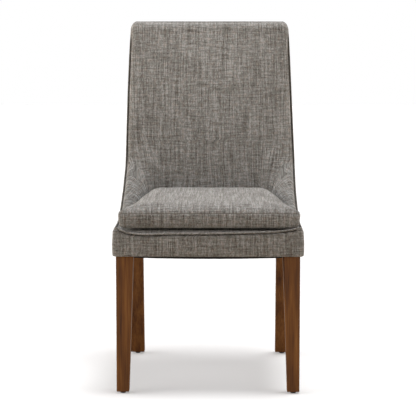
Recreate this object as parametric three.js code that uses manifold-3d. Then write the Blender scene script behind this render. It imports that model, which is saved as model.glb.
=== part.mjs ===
// Parsons dining chair: an upholstered seat and back in one body, with low wings that sweep up
// from the seat into the back, a loose boxed cushion and four wooden legs.
//
// Millimetres. X runs across the chair, with left at -X as seen from the front. Depth is measured
// backwards from the front face of the seat band, and Z is the height above the floor.

import * as THREE from "three";
import { mergeVertices } from "three/addons/utils/BufferGeometryUtils.js";
import Module from "manifold-3d";

const wasm = await Module();
wasm.setup();

// Driving dimensions

const bandWidth = 508; // seat band across its front, at its lower edge
const rearNarrowing = 10; // of the band, from its front to its rear
const crestNarrowing = 43; // from the front of the band to the top of the back
const bandDepth = 500; // front face of the band to the outside back, at the band's lower edge
const bandBottom = 371; // floor to the band's lower edge
const overallHeight = 981;
const backThickness = 69; // outside back to the face of the inside back
const reclineShare = 0.18; // how far the back leans backwards, as a share of its height
const edgeRound = 18; // padded rounding along the edges of the back
const railHeight = 50;
const railThickness = 18;
const coverThickness = 5; // fabric and its wadding on the outside of the frame
const hemWidth = 12; // cover turned under the frame
const hemThickness = 1.7;
const weltRadius = 2.5;
const fit = 0.3; // clearance between pieces that touch
const overrun = 5; // how far a cut runs past the face it opens

const sides = [
  { side: "left", sign: -1 },
  { side: "right", sign: 1 },
];

// The sides of the seat and back lie in two flat planes that draw together backwards and upwards

const bandRearWidth = bandWidth - rearNarrowing;
const crestWidth = bandWidth - crestNarrowing;
const backFace = bandDepth - backThickness; // at the height of the band's lower edge
const railBottom = bandBottom + hemThickness + fit;
const railTop = railBottom + railHeight;
const crestBase = overallHeight - edgeRound;
const planTaper = (bandWidth - bandRearWidth) / 2 / bandDepth;
const sideLean = (bandRearWidth - crestWidth) / 2 / (crestBase - bandBottom) - planTaper * reclineShare;
const reclined = (depth, z) => depth + reclineShare * (z - bandBottom);
const sideX = (inset, depth, z) => bandWidth / 2 - inset - planTaper * depth - sideLean * (z - bandBottom);

const looks = {
  fabric: { color: "#85817a", roughness: 0.95, metalness: 0 },
  legWood: { color: "#5f4023", roughness: 0.5, metalness: 0 },
  frameWood: { color: "#c3a67a", roughness: 0.8, metalness: 0 },
  foam: { color: "#e3dcc3", roughness: 1, metalness: 0 },
  webbing: { color: "#3b3a38", roughness: 0.9, metalness: 0 },
  dustCloth: { color: "#161616", roughness: 1, metalness: 0 },
  steel: { color: "#9a9b9d", roughness: 0.4, metalness: 1 },
  glide: { color: "#2a2724", roughness: 0.5, metalness: 0 },
};

const chair = new THREE.Group();

const weldDistance = 0.001;
const pointKey = (point) => point.toArray().map((value) => Math.round(value / weldDistance)).join(" ");

// A body is welded, freed of collapsed triangles and turned so that its faces point outwards
function body(geometry) {
  const bare = geometry.index ? geometry.toNonIndexed() : geometry.clone();
  bare.deleteAttribute("normal");
  bare.deleteAttribute("uv");
  const welded = mergeVertices(bare, weldDistance);
  const at = (i) => new THREE.Vector3().fromBufferAttribute(welded.attributes.position, i);
  const kept = [];
  let volume = 0;
  for (let i = 0; i < welded.index.count; i += 3) {
    const corners = [0, 1, 2].map((k) => welded.index.getX(i + k));
    if (new Set(corners).size === 3) {
      const [a, b, c] = corners.map(at);
      volume += a.dot(b.cross(c));
      kept.push(corners);
    }
  }
  if (volume < 0) {
    kept.forEach((corners) => corners.reverse());
  }
  welded.setIndex(kept.flat());
  return welded;
}

function add(name, geometry, look) {
  const solid = body(geometry);
  solid.computeVertexNormals();
  const mesh = new THREE.Mesh(solid, new THREE.MeshStandardMaterial(look));
  mesh.name = name;
  chair.add(mesh);
}

function fromTriangles(triangles) {
  const geometry = new THREE.BufferGeometry();
  return geometry.setFromPoints(triangles.flat());
}

// Four-sided cells between neighbouring rows of points; a ring joins each row's end to its start
function cellsOf(rows, ring) {
  const cells = [];
  for (let r = 0; r + 1 < rows.length; r++) {
    const count = rows[r].length;
    for (let c = 0; c < (ring ? count : count - 1); c++) {
      const next = (c + 1) % count;
      const corners = [rows[r][c], rows[r][next], rows[r + 1][next], rows[r + 1][c]];
      if (corners.every((corner) => corner)) {
        cells.push([corners[0], corners[1], corners[2]], [corners[0], corners[2], corners[3]]);
      }
    }
  }
  return cells;
}

// A closed skin through rings of points, whose first and last rings are drawn to one point
function skin(rings) {
  return fromTriangles(cellsOf(rings, true));
}

// A sheet of even thickness behind a grid of points, closed along its free edges
function sheet(rows, thickness, ring = false) {
  const faces = cellsOf(rows, ring);
  const normals = new Map();
  const edges = new Map();
  for (const [a, b, c] of faces) {
    const normal = b.clone().sub(a).cross(c.clone().sub(a));
    for (const point of [a, b, c]) {
      const key = pointKey(point);
      normals.set(key, (normals.get(key) ?? new THREE.Vector3()).add(normal));
    }
    for (const [from, to] of [[a, b], [b, c], [c, a]]) {
      const back = `${pointKey(to)}>${pointKey(from)}`;
      if (pointKey(from) === pointKey(to)) {
        continue;
      }
      if (!edges.delete(back)) {
        edges.set(`${pointKey(from)}>${pointKey(to)}`, [from, to]);
      }
    }
  }
  const behind = (point) =>
    point.clone().addScaledVector(normals.get(pointKey(point)).clone().normalize(), -thickness);
  const triangles = [];
  for (const [a, b, c] of faces) {
    triangles.push([a, b, c], [behind(a), behind(c), behind(b)]);
  }
  for (const [from, to] of edges.values()) {
    triangles.push([to, from, behind(from)], [to, behind(from), behind(to)]);
  }
  return fromTriangles(triangles);
}

// A plate cut to an outline, whose corners and thickness are then put in their place
function plate(outline, thickness, place) {
  const shape = new THREE.Shape(outline.map(([a, b]) => new THREE.Vector2(a, b)));
  const geometry = new THREE.ExtrudeGeometry(shape, { depth: thickness, bevelEnabled: false });
  const at = geometry.attributes.position;
  for (let i = 0; i < at.count; i++) {
    at.setXYZ(i, ...place(at.getX(i), at.getY(i), at.getZ(i)));
  }
  return body(geometry);
}

const onSide = (sign, inset) => (depth, z, inwards) => [sign * sideX(inset + inwards, depth, z), depth, z];
const onBack = (face) => (x, z, behind) => [x, reclined(face + behind, z), z];
const lyingAt = (bottom) => (x, depth, up) => [x, depth, bottom + up];

function manifoldOf(geometry) {
  const solid = body(geometry);
  return new wasm.Manifold(
    new wasm.Mesh({
      numProp: 3,
      vertProperties: new Float32Array(solid.attributes.position.array),
      triVerts: new Uint32Array(solid.index.array),
    }),
  );
}

function geometryOf(manifold) {
  const mesh = manifold.getMesh();
  const geometry = new THREE.BufferGeometry();
  geometry.setAttribute("position", new THREE.BufferAttribute(mesh.vertProperties, 3));
  geometry.setIndex(new THREE.BufferAttribute(mesh.triVerts, 1));
  return geometry;
}

const joined = (one, other) => geometryOf(manifoldOf(one).add(manifoldOf(other)));

const boreSides = 16;

function bored(geometry, x, depth, bottom, top, radius) {
  const drill = new THREE.CylinderGeometry(radius, radius, top - bottom, boreSides);
  drill.rotateX(Math.PI / 2);
  drill.translate(x, depth, (top + bottom) / 2);
  return geometryOf(manifoldOf(geometry).subtract(manifoldOf(drill)));
}

function box(left, right, front, rear, bottom, top) {
  const geometry = new THREE.BoxGeometry(right - left, rear - front, top - bottom);
  geometry.translate((left + right) / 2, (front + rear) / 2, (bottom + top) / 2);
  return geometry;
}

function turned(profile, x, depth, bottom, turns) {
  const geometry = new THREE.LatheGeometry(
    profile.map(([radius, height]) => new THREE.Vector2(radius, height)),
    turns,
  );
  geometry.rotateX(Math.PI / 2);
  geometry.translate(x, depth, bottom);
  return geometry;
}

// The side seam, drawn in depth and height, which the welts follow: flat along the seat, up the
// wing, round the elbow where the wing meets the back, up the back and over its top corner

const cornerRound = 14; // rounding of the band's front corners in plan
const weltGap = 1; // between the ends of the side welts and the front welt
const flatBendShare = 0.4; // of the flat stretch's depth
const tipRise = 22; // above the rails, like the next heights
const flatRise = 15;
const bellyRise = 67;
const wingEndRise = 137;
const flatEndAhead = 281; // in front of the back's face, like the next depths
const wingFootAhead = 161;
const bellyAhead = 71;
const wingEndBehind = 34;
const elbowReach = 46; // how far up the back the rounding of the elbow runs
const seamFace = backFace + edgeRound;
const topBend = 16; // rounding of the seam at the top of the back
const seamInset = weltRadius + fit; // from the seam to the covers that meet in it
const seamPoint = (depth, z) => new THREE.Vector2(depth, z);
const backSeam = (z) => seamPoint(reclined(seamFace, z), z);
const seamTip = seamPoint(cornerRound + weltGap, railTop + tipRise);
const flatEnd = seamPoint(backFace - flatEndAhead, railTop + flatRise);
const wingFoot = seamPoint(backFace - wingFootAhead, railTop + flatRise);
const wingBelly = seamPoint(backFace - bellyAhead, railTop + bellyRise);
const wingEnd = seamPoint(backFace + wingEndBehind, railTop + wingEndRise);
const topSeamStart = reclined(seamFace, crestBase) + topBend;
const topSeamEnd = reclined(bandDepth - coverThickness - fit, crestBase - weltRadius);

// The elbow is where the slope of the wing's end meets the line of the back
const wingSlope = (wingEnd.y - wingBelly.y) / (wingEnd.x - wingBelly.x);
const elbowRise = wingSlope * (backSeam(wingEnd.y).x - wingEnd.x);
const elbowZ = wingEnd.y + elbowRise / (1 - wingSlope * reclineShare);
const elbowEnd = elbowZ + elbowReach;

const seam = {
  flat: new THREE.QuadraticBezierCurve(seamTip, seamPoint(flatBendShare * flatEnd.x, flatEnd.y), flatEnd),
  wing: new THREE.CubicBezierCurve(flatEnd, wingFoot, wingBelly, wingEnd),
  elbow: new THREE.QuadraticBezierCurve(wingEnd, backSeam(elbowZ), backSeam(elbowEnd)),
  back: new THREE.LineCurve(backSeam(elbowEnd), backSeam(crestBase - topBend)),
  corner: new THREE.QuadraticBezierCurve(
    backSeam(crestBase - topBend),
    backSeam(crestBase),
    seamPoint(topSeamStart, crestBase),
  ),
  top: new THREE.LineCurve(seamPoint(topSeamStart, crestBase), seamPoint(topSeamEnd, crestBase)),
};

// A place on the seam, moved by a distance away from the frame
function seamAt(curve, share, away = 0) {
  const at = curve.getPoint(share);
  const along = curve.getTangent(share);
  return seamPoint(at.x - along.y * away, at.y + along.x * away);
}

function seamRun(curve, steps, away, first = 0) {
  return Array.from({ length: steps + 1 - first }, (_, i) => seamAt(curve, (i + first) / steps, away));
}

// Seat frame: hardwood rails glued and screwed at the corners

const frameInset = coverThickness + fit; // outer faces of the frame, inwards from the cover's face
const railInner = frameInset + railThickness;
const postDepth = 32;
const postThickness = 22;
const postBack = bandDepth - coverThickness - fit;
const postFront = postBack - postDepth;
const postInner = frameInset + postThickness;

const frontRailHalf = sideX(frameInset, railInner, railTop);
const frontRailCut = cornerRound - frameInset; // its corners are cut to lie inside the rounded cover
const frontRailOutline = [
  [-frontRailHalf, railInner],
  [-frontRailHalf, cornerRound],
  [frontRailCut - frontRailHalf, frameInset],
  [frontRailHalf - frontRailCut, frameInset],
  [frontRailHalf, cornerRound],
  [frontRailHalf, railInner],
];
add("front_rail", plate(frontRailOutline, railHeight, lyingAt(railBottom)), looks.frameWood);

const rearRailHalf = sideX(postInner + fit, reclined(postBack, railTop), railTop);
add(
  "rear_rail",
  plate(
    [
      [-rearRailHalf, railBottom],
      [rearRailHalf, railBottom],
      [rearRailHalf, railTop],
      [-rearRailHalf, railTop],
    ],
    railThickness,
    onBack(postBack - railThickness),
  ),
  looks.frameWood,
);

const sideRailFront = railInner + fit;
const sideRailRear = postFront - fit;

for (const { side, sign } of sides) {
  const outline = [
    [sideRailFront, railBottom],
    [reclined(sideRailRear, railBottom), railBottom],
    [reclined(sideRailRear, railTop), railTop],
    [sideRailFront, railTop],
  ];
  add(`side_rail_${side}`, plate(outline, railThickness, onSide(sign, frameInset)), looks.frameWood);
}

// Legs: each stands under a corner block and is held by one bolt through it

const legTop = bandBottom - fit;
const glideHeight = 5;
const legBottom = glideHeight + fit;
const legEase = 2; // flat along each long edge

const frontLegSize = { inset: 10, top: 46, footWidth: 33, footDepth: 33 };
const rearLegSize = { inset: 15, width: 40, top: 42, foot: 34, behind: 5, rake: 70 };
const frontLegOuter = bandWidth / 2 - frontLegSize.inset;
const frontLegFront = frontLegSize.inset;
const frontLeg = {
  outer: frontLegOuter,
  top: {
    inner: frontLegOuter - frontLegSize.top,
    front: frontLegFront,
    rear: frontLegFront + frontLegSize.top,
  },
  foot: {
    inner: frontLegOuter - frontLegSize.footWidth,
    front: frontLegFront,
    rear: frontLegFront + frontLegSize.footDepth,
  },
};
const rearLegOuter = bandRearWidth / 2 - rearLegSize.inset;
const rearLegRear = bandDepth - rearLegSize.behind;
const rearLeg = {
  outer: rearLegOuter,
  top: {
    inner: rearLegOuter - rearLegSize.width,
    front: rearLegRear - rearLegSize.top,
    rear: rearLegRear,
  },
  foot: {
    inner: rearLegOuter - rearLegSize.width,
    front: rearLegRear + rearLegSize.rake - rearLegSize.foot,
    rear: rearLegRear + rearLegSize.rake,
  },
};

function legRing({ inner, front, rear }, outer, z) {
  const corners = [
    [inner, front + legEase],
    [inner + legEase, front],
    [outer - legEase, front],
    [outer, front + legEase],
    [outer, rear - legEase],
    [outer - legEase, rear],
    [inner + legEase, rear],
    [inner, rear - legEase],
  ];
  return corners.map(([x, depth]) => new THREE.Vector3(x, depth, z));
}

function capped(rings) {
  const drawnIn = (ring) => {
    const middle = ring.reduce((sum, point) => sum.add(point), new THREE.Vector3()).divideScalar(ring.length);
    return ring.map(() => middle);
  };
  return skin([drawnIn(rings[0]), ...rings, drawnIn(rings[rings.length - 1])]);
}

const bolt = { radius: 4, inLeg: 35, play: 0.5 };
const nut = { radius: 7.5, height: 6.5, sides: 6, bolt: 1.5 }; // bolt is what stands past the nut
const blockTop = railTop - nut.height - nut.bolt - bolt.radius;
const frontBoltInset = 24; // from the leg's outer and front faces
const rearBoltInset = { side: 23, front: 17 };
const frontBolt = { x: frontLegOuter - frontBoltInset, depth: frontLegFront + frontBoltInset };
const rearBolt = {
  x: rearLegOuter - rearBoltInset.side,
  depth: rearLeg.top.front + rearBoltInset.front,
};

const frontBlock = { reachX: 66, reachDepth: 66, nose: 12 };
const rearBlock = { reachX: 60, reachDepth: 58, nose: 12 };

const glideTurns = 16;
const glideRadius = 7.5;
const glideEase = 1;

const legs = [
  { end: "front", leg: frontLeg, hole: frontBolt },
  { end: "rear", leg: rearLeg, hole: rearBolt },
];

function mirrored(geometry, sign) {
  return geometry.scale(sign, 1, 1);
}

for (const { side, sign } of sides) {
  for (const { end, leg, hole } of legs) {
    const wood = capped([legRing(leg.foot, leg.outer, legBottom), legRing(leg.top, leg.outer, legTop)]);
    const boltFoot = legTop - bolt.inLeg;
    const legHole = bolt.radius + fit;
    const drilled = bored(wood, hole.x, hole.depth, boltFoot - fit, legTop + overrun, legHole);
    add(`${end}_leg_${side}`, mirrored(drilled, sign), looks.legWood);

    const boltTop = blockTop + nut.height + nut.bolt;
    const shank = [
      [0, 0],
      [bolt.radius, 0],
      [bolt.radius, boltTop - boltFoot],
      [0, boltTop - boltFoot],
    ];
    const boltSolid = turned(shank, sign * hole.x, hole.depth, boltFoot, boreSides);
    add(`${end}_leg_bolt_${side}`, boltSolid, looks.steel);

    const nutBody = new THREE.CylinderGeometry(nut.radius, nut.radius, nut.height, nut.sides);
    nutBody.rotateX(Math.PI / 2);
    nutBody.translate(hole.x, hole.depth, blockTop + fit + nut.height / 2);
    const nutHole = bolt.radius + fit;
    const nutRing = bored(nutBody, hole.x, hole.depth, blockTop - overrun, boltTop + overrun, nutHole);
    add(`${end}_leg_nut_${side}`, mirrored(nutRing, sign), looks.steel);

    const footX = (leg.foot.inner + leg.outer) / 2;
    const footDepth = (leg.foot.front + leg.foot.rear) / 2;
    const profile = [
      [0, 0],
      [glideRadius - glideEase, 0],
      [glideRadius, glideEase],
      [glideRadius, glideHeight],
      [0, glideHeight],
    ];
    add(`${end}_glide_${side}`, turned(profile, sign * footX, footDepth, 0, glideTurns), looks.glide);
  }
}

// Corner blocks: glued into the inner corners, each with a clear hole for its leg bolt

const blockBottom = bandBottom;
const blockHeight = blockTop - blockBottom;
const frontCornerX = sideX(railInner + fit, railInner + frontBlock.reachDepth, railTop);
const frontCornerDepth = railInner + fit;
const rearCornerX = sideX(postInner + fit, reclined(postFront, railTop), railTop);
const rearCornerDepth = postBack - railThickness - fit;

const frontBlockOutline = [
  [frontCornerX, frontCornerDepth],
  [frontCornerX, frontCornerDepth + frontBlock.reachDepth],
  [frontCornerX - frontBlock.nose, frontCornerDepth + frontBlock.reachDepth],
  [frontCornerX - frontBlock.reachX, frontCornerDepth + frontBlock.nose],
  [frontCornerX - frontBlock.reachX, frontCornerDepth],
];
const rearBlockOutline = [
  [rearCornerX, rearCornerDepth],
  [rearCornerX - rearBlock.reachX, rearCornerDepth],
  [rearCornerX - rearBlock.reachX, rearCornerDepth - rearBlock.nose],
  [rearCornerX - rearBlock.nose, rearCornerDepth - rearBlock.reachDepth],
  [rearCornerX, rearCornerDepth - rearBlock.reachDepth],
];
const blocks = [
  { end: "front", outline: frontBlockOutline, hole: frontBolt },
  { end: "rear", outline: rearBlockOutline, hole: rearBolt },
];

for (const { side, sign } of sides) {
  for (const { end, outline, hole } of blocks) {
    const block = plate(outline, blockHeight, lyingAt(blockBottom));
    const holeRadius = bolt.radius + bolt.play;
    const drilled = bored(block, hole.x, hole.depth, blockBottom - overrun, blockTop + overrun, holeRadius);
    add(`${end}_corner_block_${side}`, mirrored(drilled, sign), looks.frameWood);
  }
}

// Back frame: two posts on the seat frame's rear corners, joined by the lower rail and the crest

const postDrop = 8; // post's top below the crest's edge
const postTop = crestBase - postDrop;
const lowerRailRise = 32;
const lowerRailBottom = railTop + lowerRailRise;
const lowerRailHeight = 40;
const crestHeight = 50;

for (const { side, sign } of sides) {
  const outline = [
    [reclined(postFront, railBottom), railBottom],
    [reclined(postBack, railBottom), railBottom],
    [reclined(postBack, postTop), postTop],
    [reclined(postFront, postTop), postTop],
  ];
  add(`back_post_${side}`, plate(outline, postThickness, onSide(sign, frameInset)), looks.frameWood);
}

function backRail(name, bottom, top) {
  const halfAt = (z) => sideX(postInner + fit, reclined(postFront + railThickness, z), z);
  const outline = [
    [-halfAt(bottom), bottom],
    [halfAt(bottom), bottom],
    [halfAt(top), top],
    [-halfAt(top), top],
  ];
  add(name, plate(outline, railThickness, onBack(postFront)), looks.frameWood);
}

backRail("lower_back_rail", lowerRailBottom, lowerRailBottom + lowerRailHeight);
backRail("crest_rail", postTop - crestHeight, postTop);

// Wing panels: plywood cut to the sweep of the wing, standing on the side rails

const wingPanelThickness = 12;
const wingPanelFront = 60;
const wingPanelDrop = 7; // panel's edge below the seam
const wingPanelInner = frameInset + wingPanelThickness;
const wingPanelTop = elbowEnd - edgeRound;
const flatSteps = 6;
const wingSteps = 10;
const elbowSteps = 5;
const cornerSteps = 4;

const wingPanelEdge = [
  ...seamRun(seam.flat, flatSteps, -wingPanelDrop).filter((point) => point.x > wingPanelFront),
  ...seamRun(seam.wing, wingSteps, -wingPanelDrop, 1),
  ...seamRun(seam.elbow, elbowSteps, -wingPanelDrop, 1).filter((point) => point.y < wingPanelTop),
];

for (const { side, sign } of sides) {
  const outline = [
    [wingPanelFront, railTop + fit],
    [reclined(postFront - fit, railTop + fit), railTop + fit],
    [reclined(postFront - fit, wingPanelTop), wingPanelTop],
    ...wingPanelEdge.toReversed().map((point) => [point.x, point.y]),
  ];
  add(`wing_panel_${side}`, plate(outline, wingPanelThickness, onSide(sign, frameInset)), looks.frameWood);
}

// Seat deck: long straps on the front and rear rails, cross straps over them, a thin pad, a cover

const strapWidth = 50;
const strapThickness = 1.5;
const longStrapShares = [-0.68, -0.23, 0.23, 0.68];
const crossStrapShares = [0.2, 0.4, 0.6, 0.8];
const strapFront = frameInset + fit;
const strapRear = postBack;
const longStrapBottom = railTop + fit;
const crossStrapBottom = longStrapBottom + strapThickness + fit;

longStrapShares.forEach((share, i) => {
  const middle = (share * bandRearWidth) / 2;
  const strap = box(
    middle - strapWidth / 2,
    middle + strapWidth / 2,
    strapFront,
    strapRear,
    longStrapBottom,
    longStrapBottom + strapThickness,
  );
  add(`seat_webbing_long_${i + 1}`, strap, looks.webbing);
});

crossStrapShares.forEach((share, i) => {
  const middle = share * postFront;
  const half = sideX(wingPanelInner + fit, middle + strapWidth, crossStrapBottom + strapThickness);
  const strap = box(
    -half,
    half,
    middle - strapWidth / 2,
    middle + strapWidth / 2,
    crossStrapBottom,
    crossStrapBottom + strapThickness,
  );
  add(`seat_webbing_cross_${i + 1}`, strap, looks.webbing);
});

const deckPadThickness = 7;
const deckPadFront = 34;
const deckPadBehind = 15; // how far it runs under the back
const deckPadRear = backFace + deckPadBehind;
const deckPadBottom = crossStrapBottom + strapThickness + fit;
const deckPadTop = deckPadBottom + deckPadThickness;
const deckInset = wingPanelInner + fit;
const deckHalf = (depth) => sideX(deckInset, depth, deckPadTop);

const deckPadOutline = [
  [-deckHalf(deckPadFront), deckPadFront],
  [deckHalf(deckPadFront), deckPadFront],
  [deckHalf(deckPadRear), deckPadRear],
  [-deckHalf(deckPadRear), deckPadRear],
];
add("deck_pad", plate(deckPadOutline, deckPadThickness, lyingAt(deckPadBottom)), looks.foam);

// Front band: covers the front rail and the front corners; its upper edge dips between them

const bandRise = 6; // above the rail, at its middle
const bandTopMiddle = railTop + bandRise;
const bandCornerRise = 14.5;
const bandDipPower = 8;
const hemRound = 3;
const hemRoundShare = 0.3;
const bandEnd = 30; // where the band meets the side covers
function bandTop(x) {
  const rise = bandCornerRise * Math.abs((2 * x) / bandWidth) ** bandDipPower;
  return Math.min(bandTopMiddle + rise, seamTip.y - seamInset);
}
const bandFrontShares = [1, 0.95, 0.9, 0.84, 0.76, 0.6, 0.3, 0, -0.3, -0.6, -0.76, -0.84, -0.9, -0.95, -1];
const bandCornerSteps = 5;
const bandSideShares = [1, 0.5];

function bandStation(place, inwards, top) {
  const along = [
    [0, top],
    [0, bandBottom + hemRound],
    [hemRoundShare * hemRound, bandBottom + hemRoundShare * hemRound],
    [hemRound, bandBottom],
    [hemWidth, bandBottom],
    [hemWidth, bandBottom + hemThickness],
    [coverThickness, bandBottom + hemThickness],
    [coverThickness, top],
  ];
  return along.map(([inset, z]) => {
    const at = place(z);
    return new THREE.Vector3(at.x + inwards.x * inset, at.y + inwards.y * inset, z);
  });
}

const seamSearchSteps = 400;
const seamHeight = (depth) =>
  (seamRun(seam.flat, seamSearchSteps, 0).find((point) => point.x >= depth) ?? seam.flat.getPoint(0)).y;

function bandHalf(sign) {
  const stations = [];
  for (const share of bandSideShares) {
    const depth = cornerRound + share * (bandEnd - cornerRound);
    const place = (z) => seamPoint(sign * sideX(0, depth, z), depth);
    stations.push(bandStation(place, seamPoint(-sign, 0), seamHeight(depth) - seamInset));
  }
  for (let i = 0; i < bandCornerSteps; i++) {
    const turn = ((i / bandCornerSteps) * Math.PI) / 2;
    const place = (z) => {
      const centre = sideX(cornerRound, cornerRound, z);
      return seamPoint(sign * (centre + cornerRound * Math.cos(turn)), cornerRound * (1 - Math.sin(turn)));
    };
    const top = bandTop(place(bandTopMiddle).x);
    stations.push(bandStation(place, seamPoint(-sign * Math.cos(turn), Math.sin(turn)), top));
  }
  return stations;
}

const bandFront = bandFrontShares.map((share) => {
  const place = (z) => seamPoint(share * sideX(cornerRound, cornerRound, z), 0);
  return bandStation(place, seamPoint(0, 1), bandTop(place(bandTopMiddle).x));
});
const bandStations = [...bandHalf(1), ...bandFront, ...bandHalf(-1).toReversed()];
const innerCorner = (station) => station.map(() => station[6]);
const bandRings = [
  innerCorner(bandStations[0]),
  ...bandStations,
  innerCorner(bandStations[bandStations.length - 1]),
];
add("front_band", skin(bandRings), looks.fabric);

// Side covers: outside fabric of the band, wing and back, cut to the seam and turned under

const sideCoverFront = bandEnd + fit;
const sideCoverTop = crestBase - seamInset;
const sideCoverEdge = [
  ...seamRun(seam.flat, flatSteps, -seamInset).filter((point) => point.x > sideCoverFront),
  ...seamRun(seam.wing, wingSteps, -seamInset, 1),
  ...seamRun(seam.elbow, elbowSteps, -seamInset, 1),
  ...seamRun(seam.corner, cornerSteps, -seamInset),
];
const sideCoverOutline = [
  [sideCoverFront, bandBottom],
  [reclined(postBack, bandBottom), bandBottom],
  [reclined(postBack, sideCoverTop), sideCoverTop],
  ...sideCoverEdge.toReversed().map((point) => [point.x, point.y]),
  [sideCoverFront, seamHeight(sideCoverFront) - seamInset],
];
const sideHemOutline = [
  [sideCoverFront, bandBottom],
  [reclined(postBack, bandBottom), bandBottom],
  [reclined(postBack, bandBottom + hemThickness), bandBottom + hemThickness],
  [sideCoverFront, bandBottom + hemThickness],
];

for (const { side, sign } of sides) {
  const face = plate(sideCoverOutline, coverThickness, onSide(sign, 0));
  const hem = plate(sideHemOutline, hemWidth, onSide(sign, 0));
  add(`side_cover_${side}`, joined(face, hem), looks.fabric);
}

// Outside back: one flat panel from the hem to the crest, with rounded top corners

const backPanelTop = overallHeight - fit;
const backPanelCornerSteps = 5;

function backPanelHalf(sign) {
  const halfAt = (z) => sideX(0, reclined(bandDepth, z), z);
  const points = [[sign * halfAt(bandBottom), bandBottom]];
  for (let i = 0; i <= backPanelCornerSteps; i++) {
    const turn = ((i / backPanelCornerSteps) * Math.PI) / 2;
    const x = halfAt(crestBase) - edgeRound * (1 - Math.cos(turn));
    points.push([sign * x, backPanelTop - edgeRound * (1 - Math.sin(turn))]);
  }
  return points;
}

const rearHemHalf = sideX(hemWidth + fit, bandDepth, bandBottom);
const rearHemOutline = [
  [-rearHemHalf, bandBottom],
  [rearHemHalf, bandBottom],
  [rearHemHalf, bandBottom + hemThickness],
  [-rearHemHalf, bandBottom + hemThickness],
];
const backPanelOutline = [...backPanelHalf(1), ...backPanelHalf(-1).toReversed()];
const backPanel = plate(backPanelOutline, coverThickness, onBack(bandDepth - coverThickness));
const rearHem = plate(rearHemOutline, hemWidth, onBack(bandDepth - hemWidth));
add("outside_back_cover", joined(backPanel, rearHem), looks.fabric);

// Deck cover: platform cloth over the pad. Its front edge drops to the welt, and behind the tips
// of the wings it narrows to pass between the wing panels

const deckCoverThickness = 3;
const deckTop = deckPadTop + fit + deckCoverThickness;
const deckSlopeEnd = 30;
const deckEdgeStep = 1.5; // deck's front edge above the band's
const deckEdgeInset = coverThickness + 3 * fit;
const deckRear = deckPadRear + deckCoverThickness;
const wingTipShare = 0.08;
const wingTip = seam.wing.getPoint(wingTipShare).x;
const deckColumnShares = [-1, -0.92, -0.84, -0.7, -0.45, -0.2, 0, 0.2, 0.45, 0.7, 0.84, 0.92, 1];
const deckSlopeShares = [0, 0.17, 0.34, 0.5, 0.75, 1];
const deckMidShares = [0.3, 0.65, 0.99];

function deckCoverHalf(depth) {
  if (depth < cornerRound) {
    const reach = cornerRound - deckEdgeInset;
    const across = Math.sqrt(Math.max(reach ** 2 - (cornerRound - depth) ** 2, 0));
    return sideX(cornerRound, cornerRound, deckTop) + across;
  }
  return sideX(depth < wingTip ? deckEdgeInset : deckInset, depth, deckTop);
}

const deckDepths = [
  ...deckSlopeShares.map((share) => deckEdgeInset + share * (deckSlopeEnd - deckEdgeInset)),
  ...deckMidShares.map((share) => share * wingTip),
  wingTip,
  (wingTip + deckRear) / 2,
  deckRear,
];
const deckRows = deckDepths.map((depth) => {
  const climb = THREE.MathUtils.smoothstep(depth, deckEdgeInset, deckSlopeEnd);
  return deckColumnShares.map((share) => {
    const x = share * deckCoverHalf(depth);
    const edge = bandTop(x) + deckEdgeStep;
    return new THREE.Vector3(x, depth, edge + (deckTop - edge) * climb);
  });
});
add("deck_cover", sheet(deckRows, deckCoverThickness), looks.fabric);

// Seat cushion: a boxed cover over foam. Its plan narrows backwards between the wings, its sides
// pull in between the corners and its top is crowned

const cushionBehind = 10; // how far it runs under the leaning back
const cushionInset = { front: 11, rear: 83 }; // from the sides of the band
const cushion = {
  front: 12,
  rear: backFace + cushionBehind,
  frontHalf: bandWidth / 2 - cushionInset.front,
  rearHalf: bandRearWidth / 2 - cushionInset.rear,
  frontCorner: 18,
  rearCorner: 50,
  drawnIn: 3,
};
const cushionBottom = deckTop + fit;
const cushionSide = 53.5;
const cushionCrown = 17;
const cushionSeam = cushionBottom + cushionSide; // height of the upper boxing seam
const cushionTop = cushionSeam + cushionCrown;
const cushionCover = 2.5;
const cushionUnder = 60; // width of the cover turned under the foam
const cushionCrownRun = 105;
const cushionBulge = 2;
const cushionCornerSteps = 4;
const cushionSideSteps = [6, 5, 4, 5];
const cushionLean = (cushion.frontHalf - cushion.rearHalf) / (cushion.rear - cushion.front);
const cushionHalf = (depth) => cushion.frontHalf - cushionLean * (depth - cushion.front);

function cushionRing(inset, z) {
  const front = cushion.front + inset;
  const rear = cushion.rear - inset;
  const reach = inset * Math.hypot(1, cushionLean);
  const cornerFor = (radius) => Math.max(radius - inset / 2, cushion.frontCorner / 2);
  const corners = [
    { at: seamPoint(reach - cushionHalf(front), front), radius: cornerFor(cushion.frontCorner) },
    { at: seamPoint(cushionHalf(front) - reach, front), radius: cornerFor(cushion.frontCorner) },
    { at: seamPoint(cushionHalf(rear) - reach, rear), radius: cornerFor(cushion.rearCorner) },
    { at: seamPoint(reach - cushionHalf(rear), rear), radius: cornerFor(cushion.rearCorner) },
  ];
  const ring = [];
  corners.forEach(({ at, radius }, i) => {
    const last = corners[(i + 3) % corners.length].at;
    const next = corners[(i + 1) % corners.length];
    const start = at.clone().lerp(last, radius / at.distanceTo(last));
    const end = at.clone().lerp(next.at, radius / at.distanceTo(next.at));
    const nextStart = next.at.clone().lerp(at, next.radius / next.at.distanceTo(at));
    ring.push(...new THREE.QuadraticBezierCurve(start, at, end).getPoints(cushionCornerSteps));
    const inwards = seamPoint(at.y - next.at.y, next.at.x - at.x).normalize();
    for (let k = 1; k < cushionSideSteps[i]; k++) {
      const share = k / cushionSideSteps[i];
      const bow = cushion.drawnIn * Math.sin(Math.PI * share);
      ring.push(end.clone().lerp(nextStart, share).addScaledVector(inwards, bow));
    }
  });
  return ring.map((point) => new THREE.Vector3(point.x, point.y, z));
}

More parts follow.
